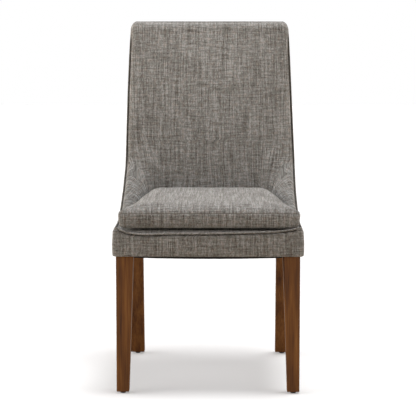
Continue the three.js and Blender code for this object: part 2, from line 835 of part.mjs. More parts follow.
// Shares of the boxing's height, of the crown's rise and of the width that each is drawn over
const cushionUndersideShares = [[1, 0], [0.37, 0], [0.13, 0.06], [0.03, 0.13], [0, 0.18]];
const cushionSideShares = [[-0.75, 0.4], [-1, 0.57], [-0.75, 0.8], [0.25, 1]];
const cushionCrownShares = [[0.05, 0.26], [0.13, 0.5], [0.3, 0.71], [0.59, 0.87], [1, 0.965]];

// Rings of the cushion's surface, or of one that lies the given distance inside it
function cushionRings(within) {
  const bottom = cushionBottom + within;
  const side = cushionSeam - within - bottom;
  const crown = cushionTop - cushionSeam;
  const band = (shares, width, base, height) =>
    shares.map(([run, rise]) => cushionRing(within + run * width, base + rise * height));
  return [
    ...band(cushionUndersideShares, cushionUnder, bottom, side),
    ...band(cushionSideShares, cushionBulge, bottom, side),
    ...band(cushionCrownShares, cushionCrownRun, bottom + side, crown),
  ];
}

function drawnTo(ring, z) {
  const middle = ring.reduce((sum, point) => sum.add(point), new THREE.Vector3()).divideScalar(ring.length);
  return ring.map(() => new THREE.Vector3(0, middle.y, z));
}

const coverRings = cushionRings(0);
const coverTop = drawnTo(coverRings[coverRings.length - 1], cushionTop);
add("seat_cushion_cover", sheet([...coverRings, coverTop], cushionCover, true), looks.fabric);

const foamInset = cushionCover + fit;
const foamRings = cushionRings(foamInset);
const foamUnder = drawnTo(foamRings[0], cushionBottom + foamInset);
const foamTop = drawnTo(foamRings[foamRings.length - 1], cushionTop - foamInset);
add("seat_cushion_foam", skin([foamUnder, ...foamRings, foamTop]), looks.foam);

const undersideThickness = 2;
const undersideRing = cushionRing(cushionUnder + 2 * fit, cushionBottom);
const undersideOutline = undersideRing.map((point) => [point.x, point.y]);
const undersideCloth = plate(undersideOutline, undersideThickness, lyingAt(cushionBottom));
add("seat_cushion_underside", undersideCloth, looks.dustCloth);

// Inside cover: one piece of fabric over the front of the back and over both wings. Its rows run
// across the chair from seam to seam; the rows of the wings stop at the sides of the cushion

const insideThickness = 2.5;
const insideBottom = deckTop + insideThickness + 2 * fit;
const insideEdgeInset = 2 * weltRadius + 2 * fit;
const wallGap = 3.5; // cushion's side to the wing
const wallTopRun = 7;
const wallRise = 60; // how far the wing's inner edge climbs above the deck
const wallEase = 45;
const wallStart = 1.2;
const tipRound = 3.5;
const elbowRound = 15;
const cornerPull = 12; // how far the inside corners of the seat are rounded forwards
const wingRowShares = [wingTipShare, 0.2, 0.32, 0.44, 0.56, 0.67, 0.77, 0.86];
const backColumnShares = [0, 0.14, 0.28, 0.42, 0.54, 0.64, 0.71, 0.77];
const pullShares = [0, 0, 0, 0, 0.03, 0.1, 0.35, 1];
const edgeShares = [[1, 1], [0.5, 0.866], [0.134, 0.5], [0, 0]]; // run and rise of the rounded edge
const wallMixShares = [{ run: 0.15, rise: 0.45 }, { run: 0.5, rise: 0.78 }];
const backMixShares = [0.3, 0.65];
const wingCrown = 2;

// Rows of the lower back: place on the seam, height at the middle and how much the corner shows
const cornerRowShares = [
  { curve: seam.wing, share: 0.94, rise: 0, corner: 1 },
  { curve: seam.wing, share: 1, rise: 0.12, corner: 0.9 },
  { curve: seam.elbow, share: 0.2, rise: 0.26, corner: 0.75 },
  { curve: seam.elbow, share: 0.4, rise: 0.41, corner: 0.55 },
  { curve: seam.elbow, share: 0.6, rise: 0.57, corner: 0.33 },
  { curve: seam.elbow, share: 0.8, rise: 0.77, corner: 0.14 },
  { curve: seam.elbow, share: 1, rise: 1, corner: 0 },
];
const backRowShares = [0.08, 0.2, 0.35, 0.5, 0.65, 0.8, 0.92, 1];
const crestRowShares = [0.33, 0.66, 1];
const topRowShares = [0.5, 1];

// Points of the padded edge, from its crest to the seam
function edgePoints(curve, share, radius) {
  return edgeShares.map(([run, rise]) => {
    const at = seamAt(curve, share, rise * radius);
    return new THREE.Vector3(sideX(insideEdgeInset + run * radius, at.x, at.y), at.x, at.y);
  });
}

const wallTopZ = (seamZ) =>
  insideBottom + wallStart + wallRise * (1 - Math.exp((flatEnd.y - seamZ) / wallEase));

function wingRow(share, i) {
  const along = i / wingRowShares.length;
  const edge = edgePoints(seam.wing, share, tipRound + (elbowRound - tipRound) * along);
  const at = seam.wing.getPoint(share);
  const wallX = cushionHalf(at.x) + wallGap;
  const foot = new THREE.Vector3(wallX, at.x, insideBottom);
  const brow = new THREE.Vector3(Math.min(wallX + wallTopRun, (wallX + edge[0].x) / 2), at.x, wallTopZ(at.y));
  const slope = brow.clone().add(edge[0]).divideScalar(2);
  slope.z += wingCrown * along;
  return [...backColumnShares.slice(1).map(() => null), foot, brow, slope, ...edge];
}

function backRow({ curve, share, rise, corner = 0 }) {
  const radius = corner ? edgeRound + (elbowRound - edgeRound) * corner : edgeRound;
  const edge = edgePoints(curve, share, radius);
  const crestZ = seamAt(seam.elbow, 1, edgeRound).y;
  const z = rise === undefined ? edge[0].z : insideBottom + rise * (crestZ - insideBottom);
  const depth = rise === undefined ? edge[0].y : reclined(backFace, z);
  const inner = backColumnShares.map(
    (column, i) => new THREE.Vector3(column * edge[0].x, depth - corner * cornerPull * pullShares[i], z),
  );
  const last = inner[inner.length - 1];
  const between = wallMixShares.map((mix, i) => {
    const run = backMixShares[i] + (mix.run - backMixShares[i]) * corner;
    const climb = backMixShares[i] + (mix.rise - backMixShares[i]) * corner;
    const at = last.clone().lerp(edge[0], run);
    at.z = THREE.MathUtils.lerp(last.z, edge[0].z, climb);
    return at;
  });
  return [...inner, ...between, ...edge];
}

function bothSides(row) {
  const across = (point) => point && new THREE.Vector3(-point.x, point.y, point.z);
  return [...row.slice(1).toReversed().map(across), ...row];
}

const insideRows = [
  ...wingRowShares.map(wingRow),
  ...cornerRowShares.map(backRow),
  ...backRowShares.map((share) => backRow({ curve: seam.back, share })),
  ...crestRowShares.map((share) => backRow({ curve: seam.corner, share })),
  ...topRowShares.map((share) => backRow({ curve: seam.top, share })),
];
add("inside_cover", sheet(insideRows.map(bothSides), insideThickness), looks.fabric);

// Wing pads: foam wedges between the inside cover, the wing panels and the deck

const wingPadShares = [0.28, 0.44, 0.58, 0.72, 0.81, 0.875];
const wingPadPlay = 1;
const wingPadLean = 5;
const wingPadInner = wallGap + insideThickness + wingPadPlay;

function wingPadRing(share) {
  const at = seam.wing.getPoint(share);
  const bottom = deckTop + fit;
  const innerTop = wallTopZ(at.y) - insideThickness - wingPadPlay;
  const outerTop = at.y + wingPadPlay;
  const innerX = cushionHalf(at.x) + wingPadInner;
  const outerX = (z) => sideX(deckInset, at.x, z);
  return [
    new THREE.Vector3(innerX, at.x, bottom),
    new THREE.Vector3(outerX(bottom), at.x, bottom),
    new THREE.Vector3(outerX(outerTop), at.x, outerTop),
    new THREE.Vector3(innerX + wallTopRun + wingPadLean, at.x, innerTop),
    new THREE.Vector3(innerX + wallTopRun, at.x, innerTop - wingPadLean),
  ];
}

for (const { side, sign } of sides) {
  add(`wing_pad_${side}`, mirrored(capped(wingPadShares.map(wingPadRing)), sign), looks.foam);
}

// Back webbing, back pad and crest pad

const backStrapShares = [0.12, 0.35, 0.58, 0.81];
const backStrapInset = wingPanelInner + 2 * fit;
const backSpan = postTop - deckTop;
const backOutline = (bottom, top, inset, face) => {
  const halfAt = (z) => sideX(inset, reclined(face, z), z);
  return [
    [-halfAt(bottom), bottom],
    [halfAt(bottom), bottom],
    [halfAt(top), top],
    [-halfAt(top), top],
  ];
};

backStrapShares.forEach((share, i) => {
  const middle = deckTop + share * backSpan;
  const outline = backOutline(middle - strapWidth / 2, middle + strapWidth / 2, backStrapInset, postFront);
  const strap = plate(outline, strapThickness, onBack(postFront - fit - strapThickness));
  add(`back_webbing_${i + 1}`, strap, looks.webbing);
});

const backPadFront = backFace + insideThickness + 2 * fit;
const backPadRear = postFront - 2 * fit - strapThickness;
const backPadInset = insideEdgeInset + edgeRound + insideThickness + fit;
const backPadBottom = deckTop + fit;
const backPadTop = crestBase - topBend - overrun;
const backPadShape = backOutline(backPadBottom, backPadTop, backPadInset, backPadRear);
add("back_pad", plate(backPadShape, backPadRear - backPadFront, onBack(backPadFront)), looks.foam);

const crestPadFront = backFace + edgeRound + overrun;
const crestPadTop = overallHeight - insideThickness - overrun / 2;
const crestPadShape = backOutline(postTop + fit, crestPadTop, backPadInset, postBack);
add("crest_pad", plate(crestPadShape, postBack - crestPadFront, onBack(crestPadFront)), looks.foam);

// Welts: fabric-covered cord sewn into the seams

const weltSides = 6;
const sideWeltSteps = 120;
const frontWeltSteps = 84;
const frontWeltSeat = weltRadius + 2 * fit; // above the edge of the front band

function welt(points, steps) {
  const round = Array.from({ length: weltSides }, (_, i) => {
    const turn = (i / weltSides) * 2 * Math.PI;
    return new THREE.Vector2(weltRadius * Math.cos(turn), weltRadius * Math.sin(turn));
  });
  const extrudePath = new THREE.CatmullRomCurve3(points);
  return new THREE.ExtrudeGeometry(new THREE.Shape(round), { steps, extrudePath, bevelEnabled: false });
}

const weltSeam = [
  ...seamRun(seam.flat, flatSteps, 0),
  ...seamRun(seam.wing, wingSteps, 0, 1),
  ...seamRun(seam.elbow, elbowSteps, 0, 1),
  ...seamRun(seam.back, wingSteps, 0, 1),
  ...seamRun(seam.corner, cornerSteps, 0, 1),
  ...seamRun(seam.top, 2, 0, 1),
];
const weltInset = weltRadius + fit / 2;

for (const { side, sign } of sides) {
  const points = weltSeam.map((at) => new THREE.Vector3(sign * sideX(weltInset, at.x, at.y), at.x, at.y));
  add(`side_welt_${side}`, welt(points, sideWeltSteps), looks.fabric);
}

function frontWeltCorner(sign) {
  return Array.from({ length: bandCornerSteps }, (_, i) => {
    const turn = ((i / bandCornerSteps) * Math.PI) / 2;
    const reach = cornerRound - weltRadius;
    const centre = sideX(cornerRound, cornerRound, bandTopMiddle);
    const z = bandTop(centre + cornerRound * Math.cos(turn)) + frontWeltSeat;
    const x = sign * (centre + reach * Math.cos(turn));
    return new THREE.Vector3(x, cornerRound - reach * Math.sin(turn), z);
  });
}

const frontWeltLine = bandFrontShares.map((share) => {
  const x = share * sideX(cornerRound, cornerRound, bandTopMiddle);
  return new THREE.Vector3(x, weltRadius, bandTop(x) + frontWeltSeat);
});
const frontWeltPoints = [...frontWeltCorner(1), ...frontWeltLine, ...frontWeltCorner(-1).toReversed()];
add("front_welt", welt(frontWeltPoints, frontWeltSteps), looks.fabric);

// Dust cover: thin cloth under the frame, cut round the legs

const dustThickness = 2;
const dustMargin = 1.5;
const dustInset = 14;
const dustFront = dustInset;
const dustRear = bandDepth - dustInset;
const dustOuter = bandWidth / 2 - dustInset;

const dustSide = [
  [frontLeg.top.inner - dustMargin, dustFront],
  [frontLeg.top.inner - dustMargin, frontLeg.top.rear + dustMargin],
  [dustOuter, frontLeg.top.rear + dustMargin],
  [dustOuter - planTaper * dustRear, rearLeg.top.front - dustMargin],
  [rearLeg.top.inner - dustMargin, rearLeg.top.front - dustMargin],
  [rearLeg.top.inner - dustMargin, dustRear],
];
const dustOutline = [...dustSide, ...dustSide.toReversed().map(([x, depth]) => [-x, depth])];
add("dust_cover", plate(dustOutline, dustThickness, lyingAt(legTop - dustThickness)), looks.dustCloth);

// The origin is at the floor, in the middle of the chair's footprint

const rearmost = reclined(bandDepth, backPanelTop);
chair.position.y = -rearmost / 2;

export default chair;
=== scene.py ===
import math

import bmesh
import bpy
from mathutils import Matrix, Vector, noise


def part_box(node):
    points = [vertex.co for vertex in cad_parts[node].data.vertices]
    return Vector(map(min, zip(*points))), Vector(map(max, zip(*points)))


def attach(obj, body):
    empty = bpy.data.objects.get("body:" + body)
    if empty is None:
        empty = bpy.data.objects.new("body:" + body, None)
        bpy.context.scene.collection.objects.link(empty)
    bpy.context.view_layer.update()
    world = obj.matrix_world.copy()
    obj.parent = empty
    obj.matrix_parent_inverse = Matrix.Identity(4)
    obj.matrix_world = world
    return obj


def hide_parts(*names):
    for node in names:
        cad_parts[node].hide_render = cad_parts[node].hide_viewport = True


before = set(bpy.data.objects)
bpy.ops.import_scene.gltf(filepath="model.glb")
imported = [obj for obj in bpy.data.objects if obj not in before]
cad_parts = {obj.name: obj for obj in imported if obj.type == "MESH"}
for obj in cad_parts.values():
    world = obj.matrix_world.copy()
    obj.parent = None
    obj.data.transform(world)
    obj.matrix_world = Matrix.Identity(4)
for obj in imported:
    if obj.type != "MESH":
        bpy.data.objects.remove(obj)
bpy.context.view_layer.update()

# Lengths are in metres. X runs across the chair, with left at -X as seen from the front, the chair
# faces -Y, and Z is the height above the floor. A depth is measured back from the front of the band.

mm = 0.001
collection = bpy.context.scene.collection
front_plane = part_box("front_band")[0].y

# The viewpoint: a long lens four and a half metres in front of the seat and a little above the
# crest, turned slightly downwards, as a catalogue picture of a chair is taken.

camera_distance = 4.5
camera_side = 0.044
camera_height = 1.054
camera_pitch = math.radians(7.0)
camera_turn = math.atan2(camera_side, camera_distance)

camera = bpy.data.objects.new("camera", bpy.data.cameras.new("camera"))
camera.data.lens = 149.2
camera.data.sensor_width = 36
camera.data.clip_end = 60
camera.location = (camera_side, front_plane - camera_distance, camera_height)
camera.rotation_euler = (math.pi / 2 - camera_pitch, 0, camera_turn)
collection.objects.link(camera)
bpy.context.scene.camera = camera
bpy.context.scene.view_settings.view_transform = "Standard"


def linear(code):
    """The linear colour of an sRGB hex code."""
    channels = [int(code[i:i + 2], 16) / 255 for i in (1, 3, 5)]
    return [c / 12.92 if c <= 0.04045 else ((c + 0.055) / 1.055) ** 2.4 for c in channels] + [1.0]


def node(tree, kind, inputs=None, stops=None, **settings):
    """A shader node with its settings, its colour stops, its input values and its links."""
    made = tree.nodes.new("ShaderNode" + kind)
    for name, value in settings.items():
        setattr(made, name, value)
    if stops:
        band = made.color_ramp
        while len(band.elements) < len(stops):
            band.elements.new(0.5)
        for element, (place, code) in zip(band.elements, stops):
            element.position = place
            element.color = linear(code)
    for name, value in (inputs or {}).items():
        value = value.outputs[0] if isinstance(value, bpy.types.Node) else value
        if isinstance(value, bpy.types.NodeSocket):
            tree.links.new(value, made.inputs[name])
        else:
            made.inputs[name].default_value = value
    return made


# The room: a white surround that is brighter to the two sides, a broad light overhead, a small softbox
# in front of the crest, and a white floor that keeps the shadow.

surround_strength = 0.0605
surround_side_gain = 90.0
surround_lean = 15.0
world = bpy.data.worlds.new("white surround")
world.use_nodes = True
tree = world.node_tree
rays = node(tree, "LightPath")
seen = node(tree, "Math", {0: rays.outputs["Is Camera Ray"], 1: rays.outputs["Is Glossy Ray"]},
            operation="ADD", use_clamp=True)
seen = node(tree, "Math", {0: seen, 1: rays.outputs["Is Transmission Ray"]}, operation="ADD", use_clamp=True)
towards = node(tree, "SeparateXYZ", {0: node(tree, "TexCoord").outputs["Generated"]})
lean = node(tree, "Math", {0: towards.outputs["X"], 1: surround_side_gain, 2: -surround_lean}, operation="MULTIPLY_ADD")
cubed = node(tree, "Math", {0: towards.outputs["X"], 1: 3.0}, operation="POWER")
sideways = node(tree, "Math", {0: cubed, 1: lean}, operation="MULTIPLY")
level = node(tree, "Math", {0: sideways, 1: surround_strength, 2: surround_strength}, operation="MULTIPLY_ADD")
tone = node(tree, "ValToRGB", {0: towards.outputs["Z"]}, [(0.0, "#ffefda"), (0.75, "#f1f5ff")])
lighting = node(tree, "Background", {"Color": tone, "Strength": level})
backdrop = node(tree, "Background", {"Color": (1, 1, 1, 1), "Strength": 1.0})
both = node(tree, "MixShader", {0: seen, 1: lighting, 2: backdrop})
tree.links.new(both.outputs[0], tree.nodes["World Output"].inputs["Surface"])
bpy.context.scene.world = world

overhead = bpy.data.objects.new("overhead light", bpy.data.lights.new("overhead light", "SUN"))
overhead.data.energy = 2.25
overhead.data.angle = math.radians(23)
overhead.rotation_euler = Vector((0.1, 0.02, 1)).to_track_quat("Z", "Y").to_euler()
collection.objects.link(overhead)

softbox = bpy.data.objects.new("crest softbox", bpy.data.lights.new("crest softbox", "AREA"))
softbox.data.energy = 0.52
softbox.data.size = 0.6
softbox.data.spread = math.radians(110)
softbox.location = (-0.03, -0.2, 1.12)
softbox.rotation_euler = (softbox.location - Vector((0, 0.25, 0.97))).to_track_quat("Z", "Y").to_euler()
softbox.visible_camera = False
collection.objects.link(softbox)

floor_form = bmesh.new()
bmesh.ops.create_grid(floor_form, x_segments=1, y_segments=1, size=12)
floor_mesh = bpy.data.meshes.new("floor")
floor_form.to_mesh(floor_mesh)
floor_form.free()
floor = bpy.data.objects.new("floor", floor_mesh)
collection.objects.link(floor)
floor_paint = bpy.data.materials.new("white floor paint")
floor_paint.use_nodes = True
tree = floor_paint.node_tree
tree.nodes.clear()
matte = node(tree, "BsdfDiffuse", {"Color": linear("#d3d3d3")})
bounce = node(tree, "BsdfDiffuse", {"Color": linear("#bcb1a3")})
glow = node(tree, "Emission", {"Color": (1, 1, 1, 1), "Strength": 0.25})
shown = node(tree, "AddShader", {0: matte, 1: glow})
mixed = node(tree, "MixShader", {0: node(tree, "LightPath").outputs["Is Camera Ray"], 1: bounce, 2: shown})
node(tree, "OutputMaterial", {"Surface": mixed})
floor_mesh.materials.append(floor_paint)

# Seat and back frame: kiln-dried hardwood rails, posts and glued corner blocks, and two birch
# plywood panels that carry the wings. All of it is closed in by the covers.


def start_material(name, roughness):
    """A material with one principled shader; returns the material, its tree and its shader."""
    made = bpy.data.materials.new(name)
    made.use_nodes = True
    shader = made.node_tree.nodes["Principled BSDF"]
    shader.inputs["Roughness"].default_value = roughness
    return made, made.node_tree, shader.inputs


def finish_nodes(material, *names):
    """Gives CAD nodes their finish."""
    for name in names:
        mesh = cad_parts[name].data
        mesh.materials.clear()
        mesh.materials.append(material)


saw_mark = 6 * mm
hardwood, tree, surface = start_material("kiln-dried hardwood, sawn", 0.72)
place = node(tree, "Mapping", {"Vector": node(tree, "TexCoord").outputs["Object"], "Scale": (14, 160, 160)})
grain = node(tree, "TexNoise", {"Vector": place, "Scale": 1.0, "Detail": 6.0})
tone = node(tree, "ValToRGB", {0: grain}, [(0.3, "#a98757"), (0.5, "#c3a67a"), (0.7, "#d3ba92")])
tree.links.new(tone.outputs[0], surface["Base Color"])
relief = node(tree, "Bump", {"Height": grain, "Distance": 0.3 * mm})
tree.links.new(relief.outputs[0], surface["Normal"])
finish_nodes(hardwood, "front_rail", "rear_rail", "lower_back_rail", "crest_rail")
finish_nodes(hardwood, *[f"{piece}_{side}" for side in ("left", "right")
                         for piece in ("side_rail", "back_post", "front_corner_block", "rear_corner_block")])

ply_pitch = 1.5 * mm
plywood, tree, surface = start_material("birch plywood, bare", 0.6)
place = node(tree, "Mapping", {"Vector": node(tree, "TexCoord").outputs["Object"], "Scale": (0.05 / ply_pitch, 0, 0)})
plies = node(tree, "TexWave", {"Vector": place, "Scale": 1.0, "Distortion": 0.4}, bands_direction="X")
tone = node(tree, "ValToRGB", {0: plies}, [(0.35, "#b08f62"), (0.65, "#d9c39b")])
tree.links.new(tone.outputs[0], surface["Base Color"])
finish_nodes(plywood, "wing_panel_left", "wing_panel_right")

# Webbing: woven elastic straps, stretched and stapled across the seat and the back. They are ribbed
# across every few millimetres.

strap_rib = 3 * mm
strap_weave, tree, surface = start_material("woven elastic webbing", 0.85)
place = node(tree, "Mapping", {"Vector": node(tree, "TexCoord").outputs["Object"], "Scale": (0.05 / strap_rib,) * 3})
ribs = node(tree, "TexWave", {"Vector": place, "Scale": 1.0}, bands_direction="DIAGONAL")
tone = node(tree, "ValToRGB", {0: ribs}, [(0.2, "#2c2b29"), (0.8, "#4a4845")])
tree.links.new(tone.outputs[0], surface["Base Color"])
relief = node(tree, "Bump", {"Height": ribs, "Distance": 0.4 * mm})
tree.links.new(relief.outputs[0], surface["Normal"])
finish_nodes(strap_weave, *[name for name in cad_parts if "webbing" in name])

# Pads: slabs of upholstery foam and wadding under the covers of the deck, the back, the crest and the
# wings, and the block of foam inside the cushion. Cut foam has soft edges and a fine open cell.

foam_cell = 1.2 * mm
foam, tree, surface = start_material("open-cell upholstery foam", 0.95)
cells = node(tree, "TexVoronoi", {"Vector": node(tree, "TexCoord").outputs["Object"], "Scale": 1 / foam_cell})
tone = node(tree, "ValToRGB", {0: cells}, [(0.0, "#c9bf9d"), (0.6, "#e9e1c8")])
tree.links.new(tone.outputs[0], surface["Base Color"])
relief = node(tree, "Bump", {"Height": cells, "Distance": 0.4 * mm})
tree.links.new(relief.outputs[0], surface["Normal"])


def merged_copy(name):
    """A CAD node's mesh in one piece: its loose triangles merged and paired into four-sided faces."""
    form = bmesh.new()
    form.from_mesh(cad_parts[name].data)
    bmesh.ops.remove_doubles(form, verts=form.verts, dist=0.01 * mm)
    bmesh.ops.join_triangles(form, faces=form.faces, angle_face_threshold=math.pi, angle_shape_threshold=math.pi)
    return form


def finished(form, name, material, replaced):
    """The object of a bmesh: smooth, painted, riding on the chair and standing for its CAD nodes."""
    mesh = bpy.data.meshes.new(name)
    form.to_mesh(mesh)
    form.free()
    mesh.shade_smooth()
    mesh.materials.append(material)
    piece = bpy.data.objects.new(name, mesh)
    collection.objects.link(piece)
    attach(piece, "root")
    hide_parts(*replaced)
    return piece


for name, soft_edge in (("deck_pad", 2.5), ("back_pad", 6), ("crest_pad", 3), ("wing_pad_left", 3),
                        ("wing_pad_right", 3), ("seat_cushion_foam", 0)):
    slab = merged_copy(name)
    if soft_edge:
        bmesh.ops.dissolve_limit(slab, angle_limit=math.radians(2), verts=slab.verts, edges=slab.edges)
        bmesh.ops.bevel(slab, geom=slab.edges, offset=soft_edge * mm, offset_type="OFFSET", segments=3,
                        profile=0.5, affect="EDGES", material=-1, clamp_overlap=True)
    if name == "seat_cushion_foam":
        centre = sum((corner.co for corner in slab.verts), Vector()) / len(slab.verts)
        bmesh.ops.translate(slab, verts=slab.verts, vec=-centre)
        bmesh.ops.scale(slab, verts=slab.verts, vec=(0.9, 0.9, 0.76))
        bmesh.ops.translate(slab, verts=slab.verts, vec=centre)
    finished(slab, name + "_slab", foam, [name])

# Upholstery fabric: a heavy plain weave of grey-brown linen-look yarns. Each yarn has its own shade,
# which drifts along it, and the upright ones vary most, so the cloth looks streaked, and it is matte.

yarn_pitch = 1.3 * mm
yarn_layers = (  # direction, width, length of one shade and share; the wide ones stand for groups of yarns
    ("X", 2.6 * mm, 90 * mm, 0.31),
    ("X", 1.3 * mm, 9 * mm, 0.26),
    ("Y", 2.6 * mm, 38 * mm, 0.23),
    ("Y", 1.3 * mm, 5 * mm, 0.20),
)
yarn_spread = 5.37
tint_size = 9 * mm


def woven(name, tones):
    """The weave in given tones, from dark to pale yarns; the bump is drawn as coarse as it shows."""
    made, tree, surface = start_material(name, 0.92)
    surface["Specular IOR Level"].default_value = 0.25
    surface["Diffuse Roughness"].default_value = 0.6
    surface["Sheen Weight"].default_value = 0.12
    surface["Sheen Roughness"].default_value = 0.4
    threads = node(tree, "UVMap", uv_map="weave")
    across = node(tree, "SeparateXYZ", {0: threads})
    shade = 0.0
    for i, (axis, width, length, share) in enumerate(yarn_layers):
        along = "Y" if axis == "X" else "X"
        number = node(tree, "Math", {0: across.outputs[axis], 1: 1 / width}, operation="MULTIPLY")
        number = node(tree, "Math", {0: number}, operation="FLOOR")
        number = node(tree, "Math", {0: number, 1: yarn_spread + i}, operation="MULTIPLY")
        run = node(tree, "Math", {0: across.outputs[along], 1: 1 / length}, operation="MULTIPLY")
        place = node(tree, "CombineXYZ", {0: number, 1: run})
        yarn = node(tree, "TexNoise", {"Vector": place, "Scale": 1.0, "Detail": 1.5}, noise_dimensions="2D")
        shade = node(tree, "Math", {0: yarn, 1: share, 2: shade}, operation="MULTIPLY_ADD")
    tone = node(tree, "ValToRGB", {0: shade}, list(zip((0.385, 0.465, 0.525, 0.605), tones)))
    tints = node(tree, "TexNoise", {"Vector": threads, "Scale": 1 / tint_size, "Detail": 2.0}, noise_dimensions="2D")
    tint = node(tree, "ValToRGB", {0: tints}, [(0.35, "#f8fbf8"), (0.5, "#ffffff"), (0.65, "#fff8f2")])
    dyed = node(tree, "Mix", {0: 1.0, 6: tone, 7: tint}, data_type="RGBA", blend_type="MULTIPLY")
    tree.links.new(dyed.outputs[2], surface["Base Color"])
    over = []
    for axis in ("X", "Y"):
        turn = node(tree, "Math", {0: across.outputs[axis], 1: math.pi / yarn_pitch}, operation="MULTIPLY")
        over.append(node(tree, "Math", {0: turn}, operation="SINE"))
    crossed = node(tree, "Math", {0: over[0], 1: over[1]}, operation="MULTIPLY")
    height = node(tree, "Math", {0: shade, 1: 3.0, 2: crossed}, operation="MULTIPLY_ADD")
    relief = node(tree, "Bump", {"Height": height, "Distance": 0.2 * mm, "Strength": 0.6})
    tree.links.new(relief.outputs[0], surface["Normal"])
    return made


fabric = woven("linen-look plain weave, grey-brown", ("#5a5653", "#7b7976", "#8a8987", "#aaa9a8"))
# The side welts' weave is the same cloth in darker tones: painted shade for the shadow along the side seams.
shaded_side_welt_fabric = woven("linen-look bias strip, grey-brown", ("#3c3833", "#524e48", "#5e5a54", "#726e68"))


def lay_weave(form, run):
    """The weave's own map in metres, across and along its upright yarns, from each corner of a face."""
    layer = form.loops.layers.uv.new("weave")
    for face in form.faces:
        for loop in face.loops:
            loop[layer].uv = run(loop.vert.co, face)


def bent_grid(columns, rows, place):
    """A flat grid bent into a cover: place(u, v) gives each point, with u and v from 0 to 1."""
    form = bmesh.new()
    bmesh.ops.create_grid(form, x_segments=columns, y_segments=rows, size=0.5)
    for corner in form.verts:
        corner.co = place(corner.co.x + 0.5, corner.co.y + 0.5)
    return form


def smoothstep(value, low, high):
    """A smooth climb from 0 at low to 1 at high."""
    share = min(max((value - low) / (high - low), 0), 1)
    return share * share * (3 - 2 * share)


def mix(a, b, share):
    return a + (b - a) * share


# The chair's sides lie in two planes that draw together backwards and upwards, and its back leans

band_half = 254 * mm
band_bottom = 371 * mm
plan_taper = 0.010
side_lean = 0.02607
recline = 0.18
back_face = 431 * mm
back_depth = 500 * mm
top_z = 981 * mm
corner_round = 14 * mm


def side_x(inset, depth, z):
    return band_half - inset - plan_taper * depth - side_lean * (z - band_bottom)


def reclined(depth, z):
    return depth + recline * (z - band_bottom)


def point(x, depth, z):
    return Vector((x, front_plane + depth, z))


def settle(form):
    """Draws the stuffed sides out a little at the waist of the back and in at its crest."""
    heights = (0.5, 0.58, 0.67, 0.78, 0.88, 0.94, 0.98)
    outwards = {-1: (-0.5, 0.3, 0.9, 1.2, 0.2, -1.2, -1.8), 1: (0, 3, 1.6, 0, -1.4, -2.8, -4.5)}
    for corner in form.verts:
        x, z = corner.co.x, corner.co.z
        if z > heights[0]:
            step = max(i for i in range(len(heights) - 1) if z >= heights[i])
            share = min((z - heights[step]) / (heights[step + 1] - heights[step]), 1)
            sides = outwards[1 if x > 0 else -1]
            corner.co.x += x / side_x(0, 0.5, z) * mix(sides[step], sides[step + 1], share) * mm


# The side seam in depth and height: along the seat, up the wing, round the elbow, up the back and
# over its top corner. Each stretch is a Bezier curve.

seam = {
    "flat": [(15, 445), (60, 438), (150, 438)],
    "wing": [(150, 438), (270, 438), (360, 490), (465, 560)],
    "elbow": [(465, 560), (485.48, 573.65), (493.76, 619.65)],
    "back": [(493.76, 619.65), (552.68, 947)],
    "corner": [(552.68, 947), (555.56, 963), (571.56, 963)],
    "top": [(571.56, 963), (600.81, 963)],
}


def seam_at(stretch, share, away=0.0):
    """A place on the seam as (depth, z), moved away from the frame."""
    points = [Vector(p) * mm for p in seam[stretch]]
    while len(points) > 2:
        points = [a.lerp(b, share) for a, b in zip(points, points[1:])]
    along = (points[1] - points[0]).normalized()
    return points[0].lerp(points[1], share) + away * Vector((-along.y, along.x))


# Inside cover: one piece of fabric over the padded front of the back and over both wings. It is
# pulled round rolled edges, sewn to the outside covers in the side seams and tacked under the deck.

inside_bottom = 440.3 * mm
edge_inset = 5.6 * mm
crest_inset = 0.5 * mm
edge_round = 18 * mm
elbow_round = 15 * mm
tip_round = 3.5 * mm
tuck_height = 435.5 * mm
corner_pull = 12 * mm
tub_corner = 54 * mm
wall_gap = 3.5 * mm
wall_top_run = 7 * mm
wall_rise = 80 * mm
wall_ease = 70 * mm
wing_shares = [0.015, 0.08, 0.2, 0.32, 0.44, 0.56, 0.67, 0.77, 0.86]
columns = [0, 0.14, 0.28, 0.42, 0.55, 0.66, 0.74, 0.805]
pulls = [0, 0, 0, 0, 0.03, 0.1, 0.35, 1]
edge_shape = [(1, 1), (0.5, 0.866), (0.134, 0.5), (0, 0)]
back_rows = ([("wing", 0.94, 0, 1), ("wing", 1, 0.12, 0.9), ("elbow", 0.2, 0.26, 0.75), ("elbow", 0.4, 0.41, 0.55),
              ("elbow", 0.6, 0.57, 0.33), ("elbow", 0.8, 0.77, 0.14), ("elbow", 1, 1, 0)]
             + [("back", share, None, 0) for share in (0.08, 0.2, 0.35, 0.5, 0.65, 0.8, 0.92, 1)]
             + [("corner", share, None, 0) for share in (0.33, 0.66, 1)]
             + [("top", share, None, 0) for share in (0.5, 1)])


def cushion_half(depth):
    return 243 * mm - 0.17955 * (depth - 12 * mm)


def edge_points(stretch, share, radius):
    """The padded edge from its crest to the seam."""
    points = []
    inset = mix(edge_inset, crest_inset, smoothstep(seam_at(stretch, share)[1], 0.92, 0.96))
    for run, rise in edge_shape:
        depth, z = seam_at(stretch, share, rise * radius)
        points.append(Vector((side_x(inset + run * radius, depth, z), depth, z)))
    return points


def drawn_in(spot, side, back, share):
    """Draws a place towards the wide rounded corner between a wing and the back, as padding does."""
    reach = Vector((tub_corner - side + spot.x, tub_corner - back + spot.y))
    if min(reach) > 0 and reach.length > tub_corner:
        move = reach * (1 - tub_corner / reach.length) * share
        spot = Vector((spot.x - move.x, spot.y - move.y, spot.z))
    return spot


